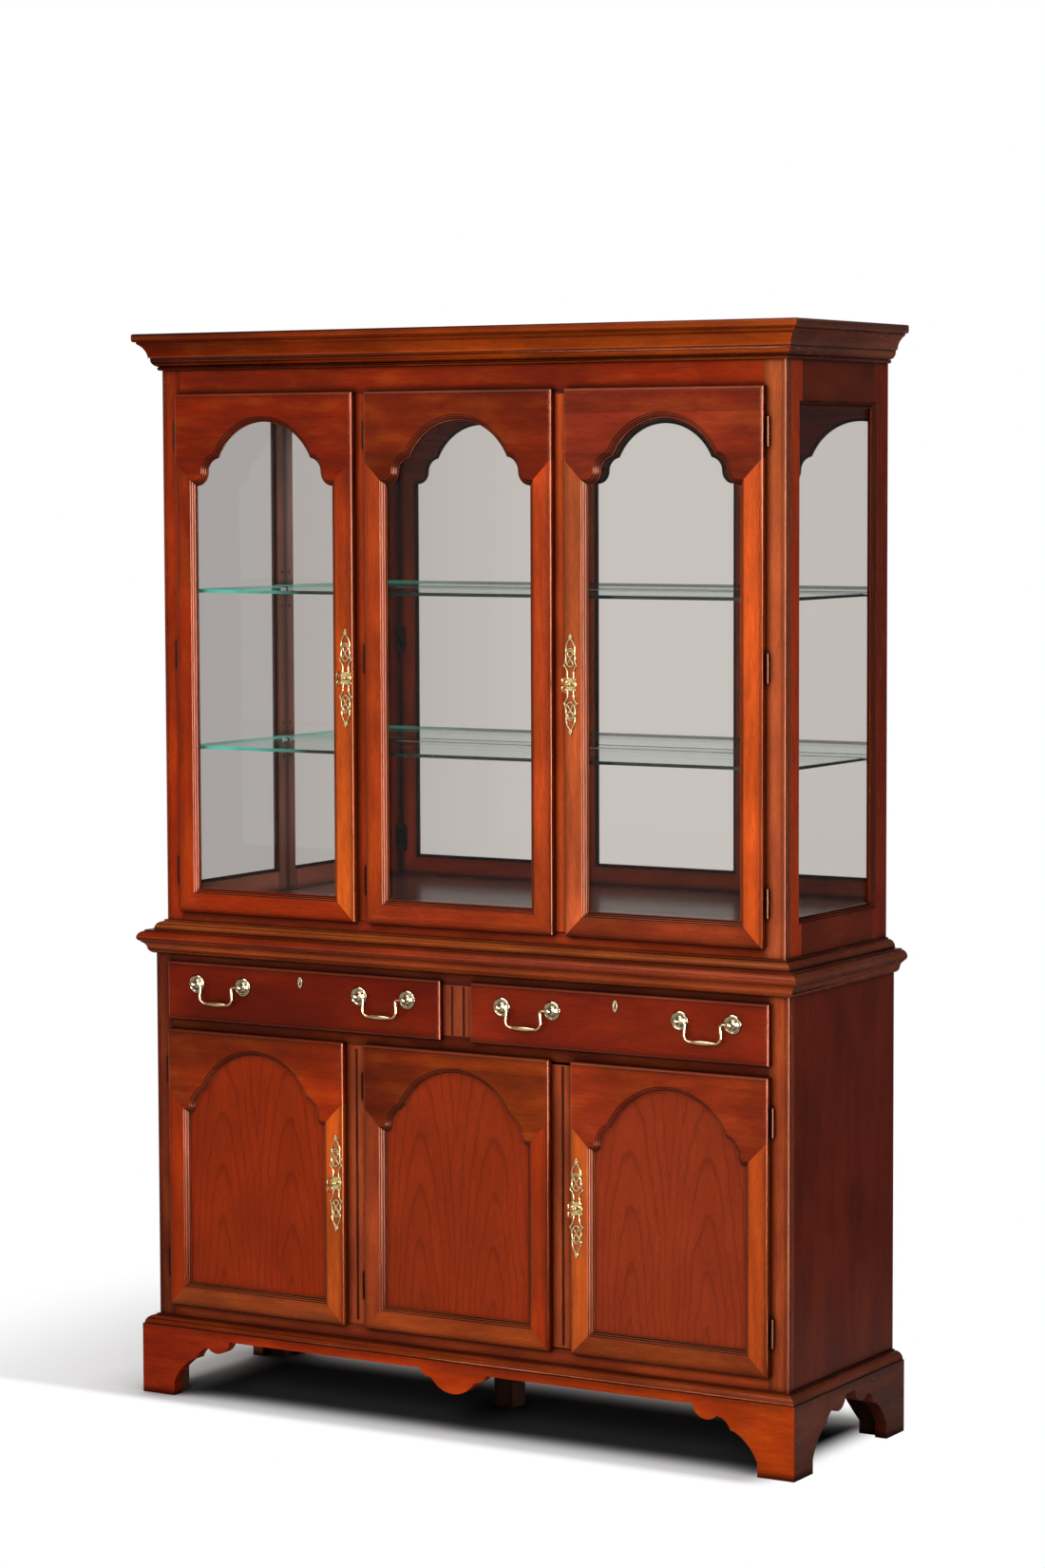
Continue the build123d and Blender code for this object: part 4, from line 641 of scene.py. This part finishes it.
floorLook = dict(
    size=12.0, paper="#f7f8fa", inMirror="#b0aca8",
    contactReach=0.17, contactSamples=4, contactDepth=0.93,     # painted shadow: the floor darkens close to the plinth
    contactRange=dict(From_Min=0.25, From_Max=0.9),
    underEdge=0.03, underSoft=0.08, underShadeLevel=0.07,             # and a painted shadow far in under the case
    fadeWidth=0.17,                                             # this far out the floor has turned white,
    speedBefore=(0.22, 3.5, 0), speedRight=2.0,                 # later on the left, sooner in front and right
    speedBehind=dict(To_Min=0.12, To_Max=1.2), behindWidth=0.2,     # and behind, sooner towards the right
    paintedLightStrip=0.10, clearRange=dict(From_Min=1.2, From_Max=2.2),
)
white = (1, 1, 1, 1)
origin = (0, 0, 0)
bpy.ops.mesh.primitive_plane_add(size=floorLook["size"], location=origin)
floor = bpy.context.object
floor.name = "studio_floor"
floorPaper, floorTree = newMaterial("paintedStudioFloor")
floorPath = addNode(floorTree, "LightPath")
mirrored = addNode(floorTree, "Math", {"operation": "MAXIMUM"}, in0=floorPath.outputs["Is Glossy Ray"],
                   in1=floorPath.outputs["Is Transmission Ray"])
floorColour = addNode(floorTree, "Mix", {"data_type": "RGBA"}, Factor=mirrored,
                      in6=linearColour(floorLook["paper"]), in7=linearColour(floorLook["inMirror"]))
# painted shadow on the floor: darker close to the plinth and far in under the case
contact = addNode(floorTree, "AmbientOcclusion", {"samples": floorLook["contactSamples"]},
                  Distance=floorLook["contactReach"])
depth = addNode(floorTree, "MapRange", Value=contact.outputs["AO"], **floorLook["contactRange"],
                To_Min=1 - floorLook["contactDepth"], To_Max=1.0)
spot = addNode(floorTree, "TexCoord").outputs["Object"]
fromHigh = addNode(floorTree, "VectorMath", {"operation": "SUBTRACT"}, in0=tuple(caseHigh), in1=spot)
fromLow = addNode(floorTree, "VectorMath", {"operation": "SUBTRACT"}, in0=spot, in1=tuple(caseLow))
nearest = addNode(floorTree, "VectorMath", {"operation": "MINIMUM"}, in0=fromHigh, in1=fromLow)
sides = addNode(floorTree, "SeparateXYZ", Vector=nearest)
within = addNode(floorTree, "Math", {"operation": "MINIMUM"}, in0=sides.outputs["X"], in1=sides.outputs["Y"])
paintedUnderShade = addNode(floorTree, "MapRange", smooth, Value=within, To_Min=1.0, To_Max=floorLook["underShadeLevel"],
                From_Min=floorLook["underEdge"] - floorLook["underSoft"] / 2,
                From_Max=floorLook["underEdge"] + floorLook["underSoft"])
paintedFloorShade = addNode(floorTree, "Math", {"operation": "MULTIPLY"}, in0=depth, in1=paintedUnderShade)
shaded = addNode(floorTree, "VectorMath", {"operation": "SCALE"}, in0=floorColour.outputs[2], Scale=paintedFloorShade)
paper = addNode(floorTree, "BsdfDiffuse", Color=shaded)
# the floor runs out into the white backdrop: soon in front and on the right, slowly on the left and behind;
# on the right this paints light over the floor's shadow, even on a strip in under the case
# painted light: the white begins this far inside the case's right side
paintedLightCorner = (caseHigh[0] - floorLook["paintedLightStrip"], caseHigh[1], 0)
pastHigh = addNode(floorTree, "VectorMath", {"operation": "SUBTRACT"}, in0=spot, in1=paintedLightCorner)
beyond = addNode(floorTree, "VectorMath", {"operation": "MAXIMUM"}, in0=pastHigh, in1=origin)
pastLow = addNode(floorTree, "VectorMath", {"operation": "SUBTRACT"}, in0=tuple(caseLow), in1=spot)
before = addNode(floorTree, "VectorMath", {"operation": "MAXIMUM"}, in0=pastLow, in1=origin)
acrossFloor = addNode(floorTree, "SeparateXYZ", Vector=spot).outputs["X"]
speedBehind = addNode(floorTree, "MapRange", Value=acrossFloor, From_Min=caseLow[0],
                      From_Max=caseLow[0] + floorLook["behindWidth"], **floorLook["speedBehind"])
speedBeyond = addNode(floorTree, "CombineXYZ", X=floorLook["speedRight"], Y=speedBehind)
behind = addNode(floorTree, "VectorMath", {"operation": "MULTIPLY"}, in0=beyond, in1=speedBeyond)
outside = addNode(floorTree, "VectorMath", {"operation": "MULTIPLY_ADD"}, in0=before,
                  in1=floorLook["speedBefore"], in2=behind)
gone = addNode(floorTree, "VectorMath", {"operation": "LENGTH"}, in0=outside).outputs["Value"]
fade = addNode(floorTree, "MapRange", smooth, Value=gone, From_Min=0.0, From_Max=floorLook["fadeWidth"])
farAway = addNode(floorTree, "Math", {"operation": "MULTIPLY"}, in0=fade,
                  in1=floorPath.outputs["Is Camera Ray"])
backdrop = addNode(floorTree, "Emission", Color=white, Strength=1.0)
shown = addNode(floorTree, "MixShader", in0=farAway, in1=paper, in2=backdrop)
# a shine that looks low across the floor goes on to the studio wall
reach = addNode(floorTree, "VectorMath", {"operation": "LENGTH"}, in0=spot).outputs["Value"]
distant = addNode(floorTree, "MapRange", smooth, Value=reach, **floorLook["clearRange"])
let = addNode(floorTree, "Math", {"operation": "MULTIPLY"}, in0=distant, in1=mirrored)
floorSurface = addNode(floorTree, "MixShader", in0=let, in1=shown, in2=addNode(floorTree, "BsdfTransparent"))
addNode(floorTree, "OutputMaterial", Surface=floorSurface)
floor.data.materials.append(floorPaper)

# Directions run from -1 to 1: to the right, to the rear and up.
wallLook = dict(
    paper="#dfd9d6", far="#2e2c2a",
    high=dict(From_Min=0.12, From_Max=0.45), low=dict(From_Min=-0.12, From_Max=-0.40),
    fill="#fff8f2", fillStrength=0.34,
    windowRight=dict(From_Min=0.70, From_Max=0.82), windowFront=dict(From_Min=0.45, From_Max=0.25),
    windowStrength=75.0, ceilingUp=dict(From_Min=0.72, From_Max=0.86), ceilingStrength=18.0,
    leftSide=dict(From_Min=-0.56, From_Max=-0.50, To_Min=0.66, To_Max=0.92),        # darker to the left
    backSide=dict(From_Min=-0.2, From_Max=0.2, To_Min=0.86, To_Max=0.16),           # and behind
    backEdge=dict(From_Min=-0.1, From_Max=0.1),
    firstShine=1.5, beforeScatter=0.5,                          # how many bounces a ray may have made
)
world = bpy.data.worlds.new("softStudio")
bpy.context.scene.world = world
world.use_nodes = True
worldTree = world.node_tree
worldTree.nodes.clear()
worldPath = addNode(worldTree, "LightPath")
heading = addNode(worldTree, "SeparateXYZ", Vector=addNode(worldTree, "TexCoord").outputs["Generated"])
east, north, up = (heading.outputs[axis] for axis in "XYZ")
highTone = addNode(worldTree, "MapRange", smooth, Value=up, **wallLook["high"])
lowTone = addNode(worldTree, "MapRange", smooth, Value=up, **wallLook["low"])
farTone = addNode(worldTree, "Math", {"operation": "MAXIMUM"}, in0=highTone, in1=lowTone)
wallColour = addNode(worldTree, "Mix", {"data_type": "RGBA"}, Factor=farTone,
                     in6=linearColour(wallLook["paper"]), in7=linearColour(wallLook["far"]))
fillLight = addNode(worldTree, "Background", Color=linearColour(wallLook["fill"]),
                    Strength=wallLook["fillStrength"])
# a bright window wall to the right and a pale ceiling, seen only as a shine on edges and metal
sideways = addNode(worldTree, "MapRange", smooth, Value=east, **wallLook["windowRight"])
forwards = addNode(worldTree, "MapRange", smooth, Value=north, **wallLook["windowFront"])
# only a first shine shows them, so the inside of the cabinet stays quiet
first = addNode(worldTree, "Math", {"operation": "LESS_THAN"}, in0=worldPath.outputs["Glossy Depth"],
                in1=wallLook["firstShine"])
atSide = addNode(worldTree, "Math", {"operation": "MULTIPLY"}, in0=sideways, in1=forwards)
window = addNode(worldTree, "Math", {"operation": "MULTIPLY"}, in0=atSide, in1=first)
overhead = addNode(worldTree, "MapRange", smooth, Value=up, **wallLook["ceilingUp"])
above = addNode(worldTree, "Math", {"operation": "MULTIPLY"}, in0=overhead, in1=first)
ceiling = addNode(worldTree, "Math", {"operation": "MULTIPLY_ADD"}, in0=above,
                  in1=wallLook["ceilingStrength"], in2=1.0)
bright = addNode(worldTree, "Math", {"operation": "MULTIPLY_ADD"}, in0=window,
                 in1=wallLook["windowStrength"], in2=ceiling)
leftward = addNode(worldTree, "MapRange", Value=east, **wallLook["leftSide"])
backTone = addNode(worldTree, "MapRange", Value=east, **wallLook["backSide"])
rearward = addNode(worldTree, "MapRange", Value=north, **wallLook["backEdge"], To_Min=1.0, To_Max=backTone)
around = addNode(worldTree, "Math", {"operation": "MULTIPLY"}, in0=leftward, in1=rearward)
wallStrength = addNode(worldTree, "Math", {"operation": "MULTIPLY"}, in0=bright, in1=around)
wallLight = addNode(worldTree, "Background", Color=wallColour.outputs[2], Strength=wallStrength)
inShine = addNode(worldTree, "Math", {"operation": "MAXIMUM"}, in0=worldPath.outputs["Is Glossy Ray"],
                  in1=worldPath.outputs["Is Transmission Ray"])
# light that has already touched a dull surface finds only the plain fill
unscattered = addNode(worldTree, "Math", {"operation": "LESS_THAN"}, in0=worldPath.outputs["Diffuse Depth"],
                      in1=wallLook["beforeScatter"])
seenDirect = addNode(worldTree, "Math", {"operation": "MULTIPLY"}, in0=inShine, in1=unscattered)
indoors = addNode(worldTree, "MixShader", in0=seenDirect, in1=fillLight, in2=wallLight)
whiteLight = addNode(worldTree, "Background", Color=white, Strength=1.0)
worldSurface = addNode(worldTree, "MixShader", in0=worldPath.outputs["Is Camera Ray"], in1=indoors,
                       in2=whiteLight)
addNode(worldTree, "OutputWorld", Surface=worldSurface)

lamps = dict(
    key=dict(size=(1.2, 1.8), place=(0.85, -4.1, 2.35), aim=(0, 0, 1.0), power=95.0),
    top=dict(size=(3.0, 2.0), place=(-0.3, -1.9, 3.6), aim=(0, -0.3, 0.6), power=66.0),
)
for name, lamp in lamps.items():
    bpy.ops.object.light_add(type="AREA", location=lamp["place"])
    softbox = bpy.context.object
    softbox.name = name + "_softbox"
    softbox.data.shape, softbox.data.energy = "RECTANGLE", lamp["power"]
    softbox.data.size, softbox.data.size_y = lamp["size"]
    ahead = [there - here for there, here in zip(lamp["aim"], lamp["place"])]
    softbox.rotation_euler = Vector(ahead).to_track_quat("-Z", "Y").to_euler()

view = dict(place=(3.71172, -6.14086, 1.69553), tilt=85.558, turn=30.967, roll=-0.203, lens=92.5, film=36.0)
bpy.ops.object.camera_add(location=view["place"])
camera = bpy.context.object
camera.data.lens, camera.data.sensor_width = view["lens"], view["film"]
aimed = Euler((math.radians(view["tilt"]), 0, math.radians(view["turn"]))).to_matrix()
camera.rotation_euler = (aimed @ Matrix.Rotation(math.radians(view["roll"]), 3, "Z")).to_euler()
bpy.context.scene.camera = camera
bpy.context.scene.view_settings.view_transform = "Standard"
print("studio set")
